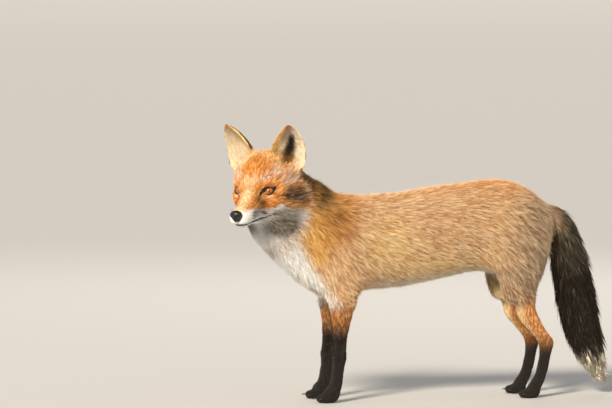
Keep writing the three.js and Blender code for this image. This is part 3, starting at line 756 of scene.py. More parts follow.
# The bare black skin of the lid rims and tear marks, and the lips.
LID_RIM = 1.5
TEAR_MARK, TEAR_HALF_WIDTH = [(1.5, 25, 9), (6.5, 22.5, 3.5), (12.5, 19.5, -1.5)], (2.0, 3.4)
BARE_LIP = 1.9
rim_mask = np.zeros(len(hide_points))
for eye in eyes:
    distance, inwards, up, outwards = eye.over(hide_points)
    close = (distance < EYE_MM + LID_REACH) & (outwards > -2)
    past_rim = smooth_step(eye.beyond_rim(inwards, up, LID_RIM), -0.12, 0.12)
    rim_mask = np.maximum(rim_mask, close * (1 - past_rim))
tear = smooth_fall(beside(both_sides_as_one(in_head(hide_points)), TEAR_MARK), *TEAR_HALF_WIDTH)
above_mouth, at_mouth = beside_mouth(hide_points, 3, 2)
lips = np.exp(-((above_mouth / BARE_LIP) ** 4)) * (at_mouth * share_of(shares, "head"))
bare = np.clip(np.maximum(np.maximum(rim_mask, tear), lips), 0, 1)
hide_shades = hide_shades * (1 - bare)[:, None, None] + HAIR_SHADES["soot"] * bare[:, None, None]


def store_colour(mesh, name, colours):
    """Keeps one colour for each vertex as a named attribute."""
    attribute = mesh.attributes.new(name, "FLOAT_COLOR", "POINT")
    filled = np.concatenate([colours, np.ones((len(colours), 1))], 1)
    attribute.data.foreach_set("color", filled.ravel().astype(np.float32))


OWN_IN_HIDE, DEEP_IN_HIDE = 0.62, 0.3  # how much of two of the hair's shades the hide shows
store_colour(hide_mesh, "hair", hide_shades[:, 0] * OWN_IN_HIDE + hide_shades[:, 2] * DEEP_IN_HIDE)
bare_attribute = hide_mesh.attributes.new("bare", "FLOAT", "POINT")
bare_attribute.data.foreach_set("value", bare.astype(np.float32))


class Shade:
    """A value or colour that changes over a surface; sums and products of it add the nodes for them."""

    def __init__(self, finish, socket):
        self.finish, self.socket = finish, socket

    def _math(self, operation, *values):
        return self.finish.node("ShaderNodeMath", {"operation": operation}, *values)

    def __add__(self, other):
        return self._math("ADD", self, other)

    __radd__ = __add__

    def __sub__(self, other):
        return self._math("SUBTRACT", self, other)

    def __rsub__(self, other):
        return self._math("SUBTRACT", other, self)

    def __mul__(self, other):
        return self._math("MULTIPLY", self, other)

    __rmul__ = __mul__

    def __truediv__(self, other):
        return self._math("DIVIDE", self, other)

    def __pow__(self, other):
        return self._math("POWER", self, other)

    def rise(self, low, high):
        """0 at low and 1 at high, with a soft rise between them."""
        settings = {"interpolation_type": "SMOOTHSTEP"}
        return self.finish.node("ShaderNodeMapRange", settings, self, low, high, 0.0, 1.0)

    def between(self, low, high):
        """The colour low where this value is 0, high where it is 1, and a mix between."""
        return self.finish.node("ShaderNodeMix", {"data_type": "RGBA"}, self, low, high)

    def brighter(self, by):
        """This colour times a value."""
        return self.finish.node("ShaderNodeVectorMath", {"operation": "SCALE"}, self, Scale=by)


class Finish:
    """A material with one Principled surface, and the nodes that feed it."""

    def __init__(self, name, **constants):
        self.material = bpy.data.materials.new(name)
        self.material.use_nodes = True
        self.nodes = self.material.node_tree.nodes
        self.links = self.material.node_tree.links
        self.surface = self.nodes["Principled BSDF"]
        self.set(**constants)

    def put(self, socket, value):
        """Links a socket to a shade, or sets it to a number or colour."""
        if isinstance(value, Shade):
            self.links.new(value.socket, socket)
        elif isinstance(value, (int, float)):
            socket.default_value = value
        else:
            value = list(value)
            size = len(socket.default_value)
            socket.default_value = (value + [1.0])[:size]

    def set(self, **sockets):
        """Sets or links the surface's own sockets, named in small letters."""
        for name, value in sockets.items():
            title = {"specular": "Specular IOR Level", "ior": "IOR"}.get(name, name.replace("_", " ").title())
            self.put(self.surface.inputs[title], value)
        return self

    def node(self, kind, settings, *values, output=0, **named):
        """Adds a node with its settings, fills its sockets in order or by name, and returns an output."""
        node = self.nodes.new(kind)
        for name, value in settings.items():
            setattr(node, name, value)
        shown = [socket for socket in node.inputs if socket.enabled]
        for socket, value in zip(shown, values):
            self.put(socket, value)
        for name, value in named.items():
            self.put(node.inputs[name], value)
        outputs = [socket for socket in node.outputs if socket.enabled]
        chosen = outputs[output] if isinstance(output, int) else node.outputs[output]
        return Shade(self, chosen)

    def attribute(self, name, output="Color"):
        """A named attribute of the mesh."""
        return self.node("ShaderNodeAttribute", {"attribute_name": name}, output=output)

    def place(self):
        """Where a point of the surface is, in metres."""
        return self.node("ShaderNodeTexCoord", {}, output="Object")

    def along(self, way, start):
        """How far a point of the surface lies from a start along a direction, in millimetres."""
        offset = self.node("ShaderNodeVectorMath", {"operation": "SUBTRACT"}, self.place(), start)
        return self.node("ShaderNodeVectorMath", {"operation": "DOT_PRODUCT"}, offset, way) / MM

    def noise(self, size, detail=2.0, where=None):
        """Soft random patches of a size, from 0 to 1, on the surface's place or another vector."""
        where = where or self.place()
        return self.node("ShaderNodeTexNoise", {"noise_dimensions": "3D"}, Vector=where, Scale=1 / size,
                         Detail=detail, output="Fac")

    def bumped(self, height, depth):
        """Raises and lowers the surface by a height from 0 to 1, times a depth in metres."""
        normal = self.node("ShaderNodeBump", {}, Height=height, Distance=depth, Strength=1.0)
        return self.set(normal=normal)


HAIR_ROUGHNESS, BARE_SHINE = 0.8, 0.4
UNDERFUR_GRAIN, UNDERFUR_DEPTH = 0.0016, 0.0005
hide_finish = Finish("hide_finish", specular=0.25, sheen_weight=0.2, sheen_roughness=0.5)
fine_hair = hide_finish.noise(UNDERFUR_GRAIN, 3.0)
hide_colour = hide_finish.attribute("hair").brighter(fine_hair * 0.5 + 0.75)
bare_skin = hide_finish.attribute("bare", "Fac")
hide_finish.set(base_color=bare_skin.between(hide_colour, shade("#120d0b")),
                roughness=HAIR_ROUGHNESS - bare_skin * BARE_SHINE)
hide_finish.bumped(fine_hair, UNDERFUR_DEPTH)
hide_mesh.materials.append(hide_finish.material)

# ---- Eyes ----
# Each eyeball is a ball of glass with a low clear dome over the iris. The iris is amber with fine spokes, a
# dark rim and a small upright pupil. The balls sit behind the hide's lids, turned where the fox looks.

GAZE = {"left": (0.79, 0.58, 0.20), "right": (0.79, -0.58, 0.20)}  # in the head's axes
IRIS_RADIUS, DOME_HEIGHT = 7.6, 0.6  # in millimetres
PUPIL_WIDTH, PUPIL_HEIGHT = 1.25, 2.5
SPOKES, SPOKE_LENGTH = 4, 0.35  # how finely the iris's noise varies round the pupil, and outwards
AMBER_START, AMBER_FULL = 1.2, 4.4  # the iris is darkest round the pupil
EYE_EASE = 0.998  # the ball is this much smaller than its socket


def eye_finish(name, centre, level, rise):
    """Glass over an iris that is painted on the eye's own axes."""
    finish = Finish(name, roughness=0.12, specular=0.5, coat_weight=1.0, coat_roughness=0.03)
    across, up = finish.along(level, centre), finish.along(rise, centre)
    out = (across * across + up * up) ** 0.5
    spoke = finish.node("ShaderNodeCombineXYZ", {}, across / out * SPOKES, up / out * SPOKES,
                        out * SPOKE_LENGTH)
    spokes = finish.noise(0.5, 3.0, where=spoke)
    amber = (spokes * 1.6 - 0.3).between(shade("#843c03"), shade("#d67e14"))
    amber = out.rise(AMBER_START, AMBER_FULL).between(shade("#7c3603"), amber)
    amber = (out / IRIS_RADIUS).rise(0.84, 0.98).between(amber, shade("#20120a"))
    pupil = (across / PUPIL_WIDTH) ** 2 + (up / PUPIL_HEIGHT) ** 2
    iris = pupil.rise(0.75, 1.3).between(shade("#0c0604"), amber)
    return finish.set(base_color=iris)


for eye in eyes:
    gaze = Vector(np.array(GAZE[eye.side]) @ head_axes).normalized()
    rise = (upward - gaze * upward.dot(gaze)).normalized()
    level = rise.cross(gaze)
    turn = Matrix((level, rise, gaze)).transposed().to_4x4()
    ball = bmesh.new()
    bmesh.ops.create_uvsphere(ball, u_segments=48, v_segments=32, radius=eye_radius * EYE_EASE)
    for vertex in ball.verts:
        from_axis = vertex.co.xy.length / MM / IRIS_RADIUS
        if vertex.co.z > 0 and from_axis < 1:
            vertex.co.z += DOME_HEIGHT * MM * (1 - from_axis**2) ** 1.5
    bmesh.ops.transform(ball, matrix=Matrix.Translation(eye_places[eye.side]) @ turn, verts=ball.verts)
    ball_mesh = mesh_from(ball, f"eyeball_{eye.side}")
    eyeball = smooth_piece(f"eyeball_{eye.side}", ball_mesh)
    glass = eye_finish(f"eye_finish_{eye.side}", eye_places[eye.side], level, rise)
    ball_mesh.materials.append(glass.material)
    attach(eyeball, "root")
    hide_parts(f"eye_{eye.side}")

# ---- Nose ----
# The bare pad at the muzzle's end: damp black leather in fine pebbles, with two comma-shaped nostrils and a
# groove down its middle. It is a pad of its own, set into the hide.

NOSE_GRAIN, NOSE_SWELL = 0.0008, 0.0002
NOSE_SOFTENING, NOSE_SOFTENING_ROUNDS = 0.5, 6
PEBBLE, PEBBLE_DEPTH = 0.0012, 0.00012
NOSE_DENTS = [  # middle and reach in the head's axes, and depth, in millimetres
    ((80, 6.6, -22.5), (7, 3.4, 3.0), 2.6),
    ((76, 10.6, -24.5), (6, 3.2, 1.3), 1.5),
    ((80, 0, -27), (9, 1.0, 9), 0.9),
]

nose_mesh = mesh_from(largest_shell(fused([swollen("nose", NOSE_SWELL)], NOSE_GRAIN)), "nose_pad")
nose_points = relaxed(positions(nose_mesh), edge_ends(nose_mesh), NOSE_SOFTENING, NOSE_SOFTENING_ROUNDS)
move_to(nose_mesh, nose_points)
nose_place = both_sides_as_one(in_head(nose_points))
dents = sum(depth * bump(nose_place, centre, reach) for centre, reach, depth in NOSE_DENTS)
move_to(nose_mesh, nose_points - vertex_normals(nose_mesh) * (dents * MM)[:, None])
nose_pad = smooth_piece("nose_pad", nose_mesh)
leather = Finish("nose_finish", specular=0.35, coat_weight=0.35, coat_roughness=0.18)
pebbles = leather.node("ShaderNodeTexVoronoi", {"feature": "DISTANCE_TO_EDGE"}, Vector=leather.place(),
                       Scale=1 / PEBBLE, output="Distance").rise(0.0, 0.28)
leather.set(base_color=pebbles.between(shade("#050303"), shade("#1b110e")), roughness=pebbles * -0.12 + 0.42)
leather.bumped(pebbles, PEBBLE_DEPTH)
nose_mesh.materials.append(leather.material)
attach(nose_pad, "root")
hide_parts("nose")

# ---- Claws ----
# Four blunt claws of dark, mottled horn on each foot, curved down. Each is rooted in its toe, and the rest of
# it keeps the place and size that it has on the foot.

HORN_GRAIN, HORN_DEPTH = 0.0006, 0.00012
CLAW_ROOT = 4.5  # how far each claw goes on into its toe, in millimetres
ROOT_FROM = 0.62  # a claw's root begins at this share of its length from the tip

horn = Finish("claw_finish", specular=0.5)
growth = horn.noise(HORN_GRAIN, 3.0)
horn.set(base_color=growth.between(shade("#15100d"), shade("#4a3a2c")), roughness=growth * 0.2 + 0.3)
horn.bumped(growth, HORN_DEPTH)

for paw in PAWS:
    claw_nodes = sorted(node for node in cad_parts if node.startswith(f"claw_{paw}"))
    claw_bmesh = bmesh.new()
    for node in claw_nodes:
        one_claw = bmesh.new()
        one_claw.from_mesh(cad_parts[node].data)
        bmesh.ops.remove_doubles(one_claw, verts=one_claw.verts, dist=WELD)
        tip = min((vertex.co for vertex in one_claw.verts), key=lambda co: co.x).copy()
        full = max((vertex.co - tip).length for vertex in one_claw.verts)
        root = [vertex for vertex in one_claw.verts if (vertex.co - tip).length > full * ROOT_FROM]
        inwards = (sum((vertex.co for vertex in root), Vector()) / len(root) - tip).normalized()
        bmesh.ops.translate(one_claw, verts=root, vec=inwards * CLAW_ROOT * MM)
        claw_bmesh.from_mesh(mesh_from(one_claw, "claw_part"))
    claw_mesh = mesh_from(claw_bmesh, f"claws_{paw}")
    claws = smooth_piece(f"claws_{paw}", claw_mesh)
    rounding = claws.modifiers.new("rounding", "SUBSURF")
    rounding.levels = rounding.render_levels = 2
    claw_mesh.materials.append(horn.material)
    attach(claws, "root")
    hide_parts(*claw_nodes)

# ---- The coat ----
# Hair grows in locks: thin flattened tufts that taper to a point, lie back along the body and overlap, with
# neighbours drawn together at their tips. Long locks cover the body and brush, short spikes face and feet.

rng = np.random.default_rng(7)
CM2_IN_M2 = 1e4

LAY_GUIDES = [  # where (along, up) in millimetres, how far it reaches, and the way the hair lies (along, up)
    ((-300, 320), 50, (0.60, -0.80)),
    ((-240, 300), 60, (0.30, -0.95)),
    ((-225, 370), 45, (0.55, -0.83)),
    ((-190, 385), 40, (0.90, -0.40)),
    ((-205, 225), 50, (0.45, -0.89)),
    ((-165, 330), 45, (0.62, -0.78)),
    ((-150, 380), 40, (0.99, -0.12)),
    ((-150, 240), 60, (0.42, -0.91)),
    ((-70, 390), 80, (1.00, -0.02)),
    ((-70, 300), 70, (0.88, -0.47)),
    ((-60, 220), 55, (0.94, -0.34)),
    ((60, 395), 80, (1.00, -0.08)),
    ((60, 310), 80, (0.91, -0.41)),
    ((70, 225), 60, (0.97, -0.24)),
    ((180, 395), 60, (0.93, -0.36)),
    ((170, 320), 60, (0.72, -0.69)),
    ((140, 240), 45, (0.45, -0.89)),
    ((225, 260), 50, (0.30, -0.95)),
    ((250, 350), 45, (0.62, -0.78)),
]
# On the tail: heights, and how far along and up the hair lies there.
TAIL_LAY = ((85, 190, 285, 365), (0.36, 0.25, 0.30, 0.75), (-0.93, -0.97, -0.95, -0.66))
NOSE_PARTING = (96, 0, -34)  # on the face the hair lies away from this point
CHEEK_DROOP = 0.45  # behind the eyes it lies downwards by this besides
EAR_LAY = (-0.1, 0, 1)  # in the head's axes
LEG_LAY, FOOT_LAY = (0.08, 0.0, -1.0), (-0.75, 0.0, -0.6)
LAY_SOFTENING, LAY_SOFTENING_ROUNDS = 0.5, 10


def along_surface(ways, normals):
    """The part of each direction that lies along the surface."""
    return ways - normals * (ways * normals).sum(1)[:, None]


def lie_of_the_coat(points, normals, shares):
    """The way the hair lies at each point, along the surface."""
    x, y, z = (points / MM).T
    weights = np.stack([
        np.exp(-((x - along) ** 2 + (z - up) ** 2) / (2 * reach**2))
        for (along, up), reach, _ in LAY_GUIDES
    ], 1) + 1e-9
    ways = np.array([[along, 0, up] for _, _, (along, up) in LAY_GUIDES])
    on_body = weights / weights.sum(1)[:, None] @ ways
    away = unit(in_head(points) - np.array(NOSE_PARTING))
    behind_eyes = smooth_step(-in_head(points)[:, 0], 0, 60)
    away[:, 2] -= CHEEK_DROOP * behind_eyes * smooth_fall(away[:, 2], -0.1, 0.35)
    on_head = away @ head_axes
    on_ear = np.broadcast_to(np.array(EAR_LAY) @ head_axes, points.shape)
    on_tail = np.stack([np.interp(z, *TAIL_LAY[:2]), 0 * z, np.interp(z, TAIL_LAY[0], TAIL_LAY[2])], 1)
    on_leg = np.broadcast_to(LEG_LAY, points.shape)
    forwards = np.broadcast_to(FOOT_LAY, points.shape)
    by_region = {"trunk": on_body, "neck": on_body, "thighs": on_body, "head": on_head, "ears": on_ear,
                 "tail": on_tail, "legs": on_leg, "feet": on_leg * 0.4 + forwards * 0.6}
    lay = sum(by_region[name] * shares[:, i, None] for i, name in enumerate(REGIONS))
    lay = relaxed(along_surface(lay, normals), hide_edges, LAY_SOFTENING, LAY_SOFTENING_ROUNDS)
    return unit(along_surface(lay, normals))


# Sizes of the hair by region, in millimetres, and by how much they differ in some places.
HAIR_LENGTH = {"trunk": 25, "neck": 28, "head": 9, "ears": 7, "tail": 50, "thighs": 27, "legs": 11,
               "feet": 4.6}
HAIR_WIDTH = {"trunk": 1.1, "neck": 1.2, "head": 1.15, "ears": 1.0, "tail": 2.4, "thighs": 1.25, "legs": 1.3,
              "feet": 0.95}
MUZZLE_SHORTER, CROWN_LONGER, RUFF_LONGER, UPPER_LEG_LONGER = 4.6, 4, 13, 7
CROWN_WIDER, MUZZLE_NARROWER, MUZZLE_FLATTER = 0.8, 0.25, 0.6
LOW_SHORTENING = 0.6  # the share that the hair loses from the belly's height down to the elbows'
BELLY_TO_ELBOW, UPPER_LEG = (165, 255), (105, 165)  # heights
RUFF_OUT = (22, 52)  # the ruff's hair grows longer between these distances from the middle plane

hide_lay = lie_of_the_coat(hide_points, hide_normals, shares)
face, up = in_head(hide_points), hide_points[:, 2] / MM
behind_face = smooth_step(-face[:, 0], 0, 62) * share_of(shares, "head")
muzzle = smooth_step(face[:, 0], 0, 40) * share_of(shares, "head")
length = shared(shares, HAIR_LENGTH) - MUZZLE_SHORTER * muzzle + CROWN_LONGER * behind_face
length = length + RUFF_LONGER * behind_face * smooth_step(np.abs(face[:, 1]), *RUFF_OUT)
off_the_tail = 1 - share_of(shares, "tail")
length = length * (1 - LOW_SHORTENING * smooth_fall(up, *BELLY_TO_ELBOW) * off_the_tail)
length = length + UPPER_LEG_LONGER * (share_of(shares, "legs") * smooth_step(up, *UPPER_LEG))
width = shared(shares, HAIR_WIDTH) + CROWN_WIDER * behind_face - MUZZLE_NARROWER * muzzle
height = shared(shares, FUR_DEPTH) + RUFF_DEPTH * behind_face - MUZZLE_FLATTER * muzzle

hide_mesh.calc_loop_triangles()
triangles = np.empty(len(hide_mesh.loop_triangles) * 3, int)
hide_mesh.loop_triangles.foreach_get("vertices", triangles)
triangles = triangles.reshape(-1, 3)
corners = hide_points[triangles]
triangle_crosses = np.cross(corners[:, 1] - corners[:, 0], corners[:, 2] - corners[:, 0])
triangle_areas = np.linalg.norm(triangle_crosses, axis=1) / 2
hide_tree = BVHTree.FromPolygons(hide_points.tolist(), triangles.tolist())
triangle_normals = hide_normals[triangles].mean(1)
triangle_lay = hide_lay[triangles].mean(1)
triangle_region = shares[triangles].sum(1).argmax(1)
triangle_middle = corners.mean(1)


def settled(points):
    """The nearest places on the hide, with its outward direction and the lie of the hair there."""
    places, rows = [], []
    for point in points.tolist():
        place, _, row, _ = hide_tree.find_nearest(point)
        places.append(place)
        rows.append(row)
    return np.array(places), triangle_normals[rows], triangle_lay[rows]


def scattered(chosen, tufts):
    """Evenly scattered roots of tufts: the triangle and the shares of its corners, for each root."""
    rows = np.flatnonzero(chosen)
    ends = np.cumsum(triangle_areas[rows])
    count = int(ends[-1] * CM2_IN_M2 * tufts)
    marks = (np.arange(count) + rng.random(count)) / count * ends[-1]
    picked = rows[np.minimum(np.searchsorted(ends, marks), len(rows) - 1)]
    a, b = np.sqrt(rng.random(count)), rng.random(count)
    return picked, np.stack([1 - a, a * (1 - b), a * b], 1)


LIMB_GAP, LIMB_SPAN = 0.03, 0.94  # shares of a limb's strip on the unwrapping
END_GAP, END_SPAN = 0.01, 0.98


def laid_flat(points, limbs):
    """The hide's own unwrapping: places round and along each limb, the limbs side by side."""
    places = np.zeros((len(points), 2))
    count = int(limbs.max()) + 1
    for limb in range(count):
        chosen = limbs == limb
        centred = points[chosen] - points[chosen].mean(0)
        along, side, up = np.linalg.svd(centred, full_matrices=False)[2]
        turn = np.arctan2(centred @ side, centred @ up) / (2 * pi) + 0.5
        reach = centred @ along
        reach = (reach - reach.min()) / np.ptp(reach)
        strip = (limb + LIMB_GAP + LIMB_SPAN * turn) / count
        places[chosen] = np.stack([strip, END_GAP + END_SPAN * reach], 1)
    return places


BALD_FROM = 0.35  # no hair grows where the skin is bare by more than this
LOCK_REACH, BEND_GATHERING = 0.4, 0.4  # how far a tuft's tip is drawn to its lock's, and less at its bend
PALE_LOCKS = 0.4  # the share of locks with pale tips
PALE_TONE, DARK_TONE = 0.75, -0.42  # from 1, all pale tip, to -1, all underfur
LOCK_TONE_SPREAD, TUFT_TONE_SPREAD = 0.2, 0.34
LOCK_LIFT, PALE_LIFT = (0.75, 1.1), 0.1  # a lock's rise as a share of the fur's depth; pale ones rise more
TUFT_LIFT = (0.4, 1.05)
GUARD_HAIRS, GUARD_LIFT = 0.07, 0.6  # the share of tufts that stand out past the rest, and how far
LENGTHS, WIDTHS = (0.75, 1.15), (0.75, 1.25)
TUFT_TURN = 0.5  # how much a tuft turns within its lock, as a share of the locks' own spread
BEND, BEND_LIFT, BEND_ONWARD = 0.48, 0.62, 0.5  # a bent tuft's middle, its rise, and how straight it goes on
BENT_ROOT_WIDTH = 0.75  # of the width at the bend
ASTRAY = 0.1  # a tip is astray where the hide under it faces the root's way by less than this
TUFT_THICKNESS = 0.42  # of its width
ROOT_DEPTH = 0.4 * MM  # how far a root goes into the hide
ROOT_SHADE, ROOT_OWN, ROOT_DEEP = 0.8, 0.4, 0.6
TIP_OWN, TIP_PALE = 0.78, 0.22
PATCH = 0.003  # the size of a tuft's own place on the unwrapping


def joined_tufts(name, points, faces, colours, places, smooth):
    """One mesh of many like tufts, given their points, colours and unwrapped places by tuft."""
    per_tuft = points.shape[1]
    all_faces = (np.arange(len(points))[:, None, None] * per_tuft + faces).reshape(-1, 3)
    mesh = bpy.data.meshes.new(name)
    mesh.vertices.add(len(points) * per_tuft)
    mesh.loops.add(all_faces.size)
    mesh.polygons.add(len(all_faces))
    mesh.polygons.foreach_set("loop_start", np.arange(0, all_faces.size, 3))
    mesh.loops.foreach_set("vertex_index", all_faces.ravel())
    mesh.polygons.foreach_set("use_smooth", np.full(len(all_faces), smooth))
    move_to(mesh, points.reshape(-1, 3))
    store_colour(mesh, "hair", colours.reshape(-1, 3))
    unwrapping = mesh.uv_layers.new(name="OFBake")
    corner_places = places.reshape(-1, 2)[all_faces.ravel()]
    unwrapping.data.foreach_set("uv", corner_places.ravel().astype(np.float32))
    mesh.update()
    return mesh


def coat(name, chosen, limbs, tufts, locks, bent=False, spread=0.16, contrast=1.0, lightness=0.0):
    """One piece of coat on the chosen triangles, with so many tufts and locks to the square centimetre."""
    rows, weights = scattered(chosen, tufts)

    def at(values):
        """The hide's values at the roots."""
        shape = weights.shape + (1,) * (values.ndim - 1)
        return (values[triangles[rows]] * weights.reshape(shape)).sum(1)

    keep = at(bare) < BALD_FROM
    rows, weights = rows[keep], weights[keep]
    count = len(rows)
    roots, normals, lay = at(hide_points), unit(at(hide_normals)), at(hide_lay)
    long, wide, high = at(length) * MM, at(width) * MM, at(height) * MM
    shades = at(hide_shades)
    # each tuft belongs to the nearest lock, which shares its tone, turn and lift
    lock_count = int(count * locks / tufts)
    centres = rng.choice(count, lock_count, replace=False)
    finder = KDTree(lock_count)
    for i, row in enumerate(centres):
        finder.insert(roots[row], i)
    finder.balance()
    lock = np.array([finder.find(root)[1] for root in roots.tolist()])
    pale_lock = rng.random(lock_count) < PALE_LOCKS
    lock_tone = np.where(pale_lock, PALE_TONE, DARK_TONE) + rng.normal(0, LOCK_TONE_SPREAD, lock_count)
    lock_turn = rng.normal(0, spread, lock_count)
    lock_lift = rng.uniform(*LOCK_LIFT, lock_count) + PALE_LIFT * pale_lock
    own_tone = rng.normal(0, TUFT_TONE_SPREAD, count)
    tone = np.clip(contrast * (lock_tone[lock] + own_tone) + lightness, -1, 1)
    turn = lock_turn[lock] + rng.normal(0, spread * TUFT_TURN, count)
    guard = rng.random(count) < GUARD_HAIRS
    lift = lock_lift[lock] * (rng.uniform(*TUFT_LIFT, count) + GUARD_LIFT * guard) * high
    long = long * rng.uniform(*LENGTHS, count)
    wide = wide * rng.uniform(*WIDTHS, count)
    sideways = np.cross(lay, normals)
    way = unit(lay * np.cos(turn)[:, None] + sideways * np.sin(turn)[:, None])
    if bent:
        mid, mid_normals, mid_lay = settled(roots + way * (long * BEND)[:, None])
        mid = mid + mid_normals * (lift * BEND_LIFT)[:, None]
        onward = unit(way * BEND_ONWARD + mid_lay)
        tip, tip_normals, _ = settled(mid + onward * (long * (1 - BEND))[:, None])
        mid += (mid[centres][lock] - mid) * (LOCK_REACH * BEND_GATHERING)
    else:
        tip, tip_normals, _ = settled(roots + way * long[:, None])
    tip = tip + tip_normals * lift[:, None]
    # on the thin ears a tip stays on its own side
    astray = (tip_normals * normals).sum(1) < ASTRAY
    tip[astray] = (roots + way * (long * 0.5)[:, None] + normals * lift[:, None])[astray]
    tip += (tip[centres][lock] - tip) * (LOCK_REACH * ~astray)[:, None]
    # three-sided rings: left and right edges against the hide, and a low ridge on top
    across = unit(np.cross(way, normals))
    thick = wide * TUFT_THICKNESS
    low_root = roots - normals * ROOT_DEPTH

    def ring(place, size):
        half, rise = across * (wide * size / 2)[:, None], normals * (thick * size)[:, None]
        return [place - half, place + half, place + rise]

    if bent:
        points = np.stack(ring(low_root, BENT_ROOT_WIDTH) + ring(mid, 1.0) + [tip], 1)
        faces = np.array([[0, 1, 2], [0, 3, 1], [1, 3, 4], [1, 4, 2], [2, 4, 5], [2, 5, 0], [0, 5, 3],
                          [3, 6, 4], [4, 6, 5], [5, 6, 3]])
        stages = [0, 0, 0, 1, 1, 1, 2]
    else:
        points = np.stack(ring(low_root, 1.0) + [tip], 1)
        faces = np.array([[0, 1, 2], [0, 3, 1], [1, 3, 2], [2, 3, 0]])
        stages = [0, 0, 0, 2]
    own, pale, deep = shades[:, 0], shades[:, 1], shades[:, 2]
    light, dark = np.maximum(tone, 0)[:, None], np.maximum(-tone, 0)[:, None]
    toned = own * (1 - light - dark) + pale * light + deep * dark
    by_stage = [(toned * ROOT_OWN + deep * ROOT_DEEP) * ROOT_SHADE, toned, toned * TIP_OWN + pale * TIP_PALE]
    colours = np.stack([by_stage[stage] for stage in stages], 1)
    # on the unwrapping a tuft is a small patch round its root's place: left, right and ridge, by stage
    ring_places = (-0.5, 0.5, 0)
    offsets = np.array([(ring_places[i % 3], stage - 1) for i, stage in enumerate(stages)]) * PATCH / 2
    offsets[-1, 0] = 0
    places = laid_flat(roots, limbs(roots))[:, None] + offsets
    mesh = joined_tufts(name, points, faces, colours, places, bent)
    mesh.materials.append(hair_finish.material)
    piece = bpy.data.objects.new(name, mesh)
    bpy.context.scene.collection.objects.link(piece)
    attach(piece, "root")


STRAND_GRAIN = 0.0012
hair_finish = Finish("hair_finish", roughness=0.62, specular=0.16, sheen_weight=0.12, sheen_roughness=0.45,
                     sheen_tint=(1.0, 0.85, 0.65))
strand = hair_finish.noise(STRAND_GRAIN, 2.0)
hair_finish.set(base_color=hair_finish.attribute("hair").brighter(strand * 0.44 + 0.78))


def on(*names):
    """Which of the hide's triangles lie on these regions."""
    return np.isin(triangle_region, [list(REGIONS).index(name) for name in names])


def one_limb(points):
    """All points belong to one limb."""
    return np.zeros(len(points), int)


def left_and_right(points):
    """Numbers the fox's left and right limbs."""
    return (points[:, 1] > midline).astype(int)


def four_limbs(points):
    """Numbers the four legs."""
    return left_and_right(points) + 2 * (points[:, 0] > 0)


def two_ears(points):
    """Numbers the two ears."""
    return (in_head(points)[:, 1] < 0).astype(int)


WAIST = 0.012  # the trunk's coat is cut across here, and along the midline, into four pieces
fore, left_side = triangle_middle[:, 0] < WAIST, triangle_middle[:, 1] < midline
for part, chosen in (("shoulders_left", fore & left_side), ("shoulders_right", fore & ~left_side),
                     ("loin_left", ~fore & left_side), ("loin_right", ~fore & ~left_side)):
    coat(f"coat_{part}", on("trunk") & chosen, one_limb, tufts=88, locks=21, contrast=0.95)
coat("coat_neck", on("neck"), one_limb, tufts=84, locks=18, contrast=0.95)
coat("coat_brush", on("tail"), one_limb, tufts=30, locks=5, bent=True, contrast=0.6)
coat("coat_thighs", on("thighs"), left_and_right, tufts=80, locks=20)
coat("coat_legs", on("legs"), four_limbs, tufts=60, locks=9, spread=0.12)
coat("coat_feet", on("feet"), four_limbs, tufts=70, locks=14, spread=0.12)
coat("coat_face", on("head"), one_limb, tufts=84, locks=13, contrast=1.15, lightness=0.16)
coat("coat_ears", on("ears"), two_ears, tufts=110, locks=20, spread=0.2, lightness=0.3)

# ---- Whiskers ----
# Stiff dark hairs in four rows on each side of the upper lip, longest behind. Each tapers to a point, sweeps
# out and back, and is rooted in the hide.

WHISKER_ROOTS = [  # forward, out and up in the head's axes, and the length, in millimetres
    (47, 15, -24, 22), (40, 17, -25, 30), (33, 18, -26, 38), (26, 20, -27, 46),
    (48, 14, -28, 26), (41, 16, -29, 36), (34, 18, -30, 46), (27, 20, -31, 54),
    (46, 13, -32, 24), (39, 15, -33, 34), (32, 17, -35, 44),
    (44, 12, -36, 20), (37, 14, -37, 28),
]
WHISKER_ROOT_RADIUS, WHISKER_TIP_RADIUS = 0.28, 0.05
STATIONS, WHISKER_SIDES = 9, 5
SWEEP, BEND_BACK = (-0.52, 0.80, -0.12), (-0.30, -0.05, -0.16)  # forward, out and up in the head's axes
FANNING, FAN_LEVEL = 0.02, -30  # a whisker that is rooted higher points higher
STRAYING = 0.05
ROOTED = 0.04  # the share of a whisker's length that is in the hide

whisker_bmesh = bmesh.new()
for side in (1, -1):
    for forwards, out, up, reach in WHISKER_ROOTS:
        root = Vector(hide_tree.find_nearest(Vector(from_head((forwards, side * out, up))))[0])
        rise = SWEEP[2] + FANNING * (up - FAN_LEVEL)
        way = Vector(np.array((SWEEP[0], side * SWEEP[1], rise)) @ head_axes).normalized()
        bend = Vector(np.array((BEND_BACK[0], side * BEND_BACK[1], BEND_BACK[2])) @ head_axes)
        way = (way + Vector(rng.normal(0, STRAYING, 3))).normalized()
        rings = []
        for station in range(STATIONS):
            t = station / (STATIONS - 1)
            place = root + (way * (t * (1 + ROOTED) - ROOTED) + bend * t * t) * reach * MM
            radius = (WHISKER_ROOT_RADIUS + (WHISKER_TIP_RADIUS - WHISKER_ROOT_RADIUS) * t) * MM
            facing = (way + bend * 2 * t).to_track_quat("Z", "Y").to_matrix().to_4x4()
            matrix = Matrix.Translation(place) @ facing
            at_end = station in (0, STATIONS - 1)
            circle = bmesh.ops.create_circle(whisker_bmesh, cap_ends=at_end, segments=WHISKER_SIDES,
                                             radius=radius, matrix=matrix)
            rings.append(circle["verts"])
        for near, far in zip(rings, rings[1:]):
            for i in range(WHISKER_SIDES):
                after = (i + 1) % WHISKER_SIDES
                whisker_bmesh.faces.new((near[i], near[after], far[after], far[i]))
bmesh.ops.recalc_face_normals(whisker_bmesh, faces=whisker_bmesh.faces)
whisker_mesh = mesh_from(whisker_bmesh, "whiskers")
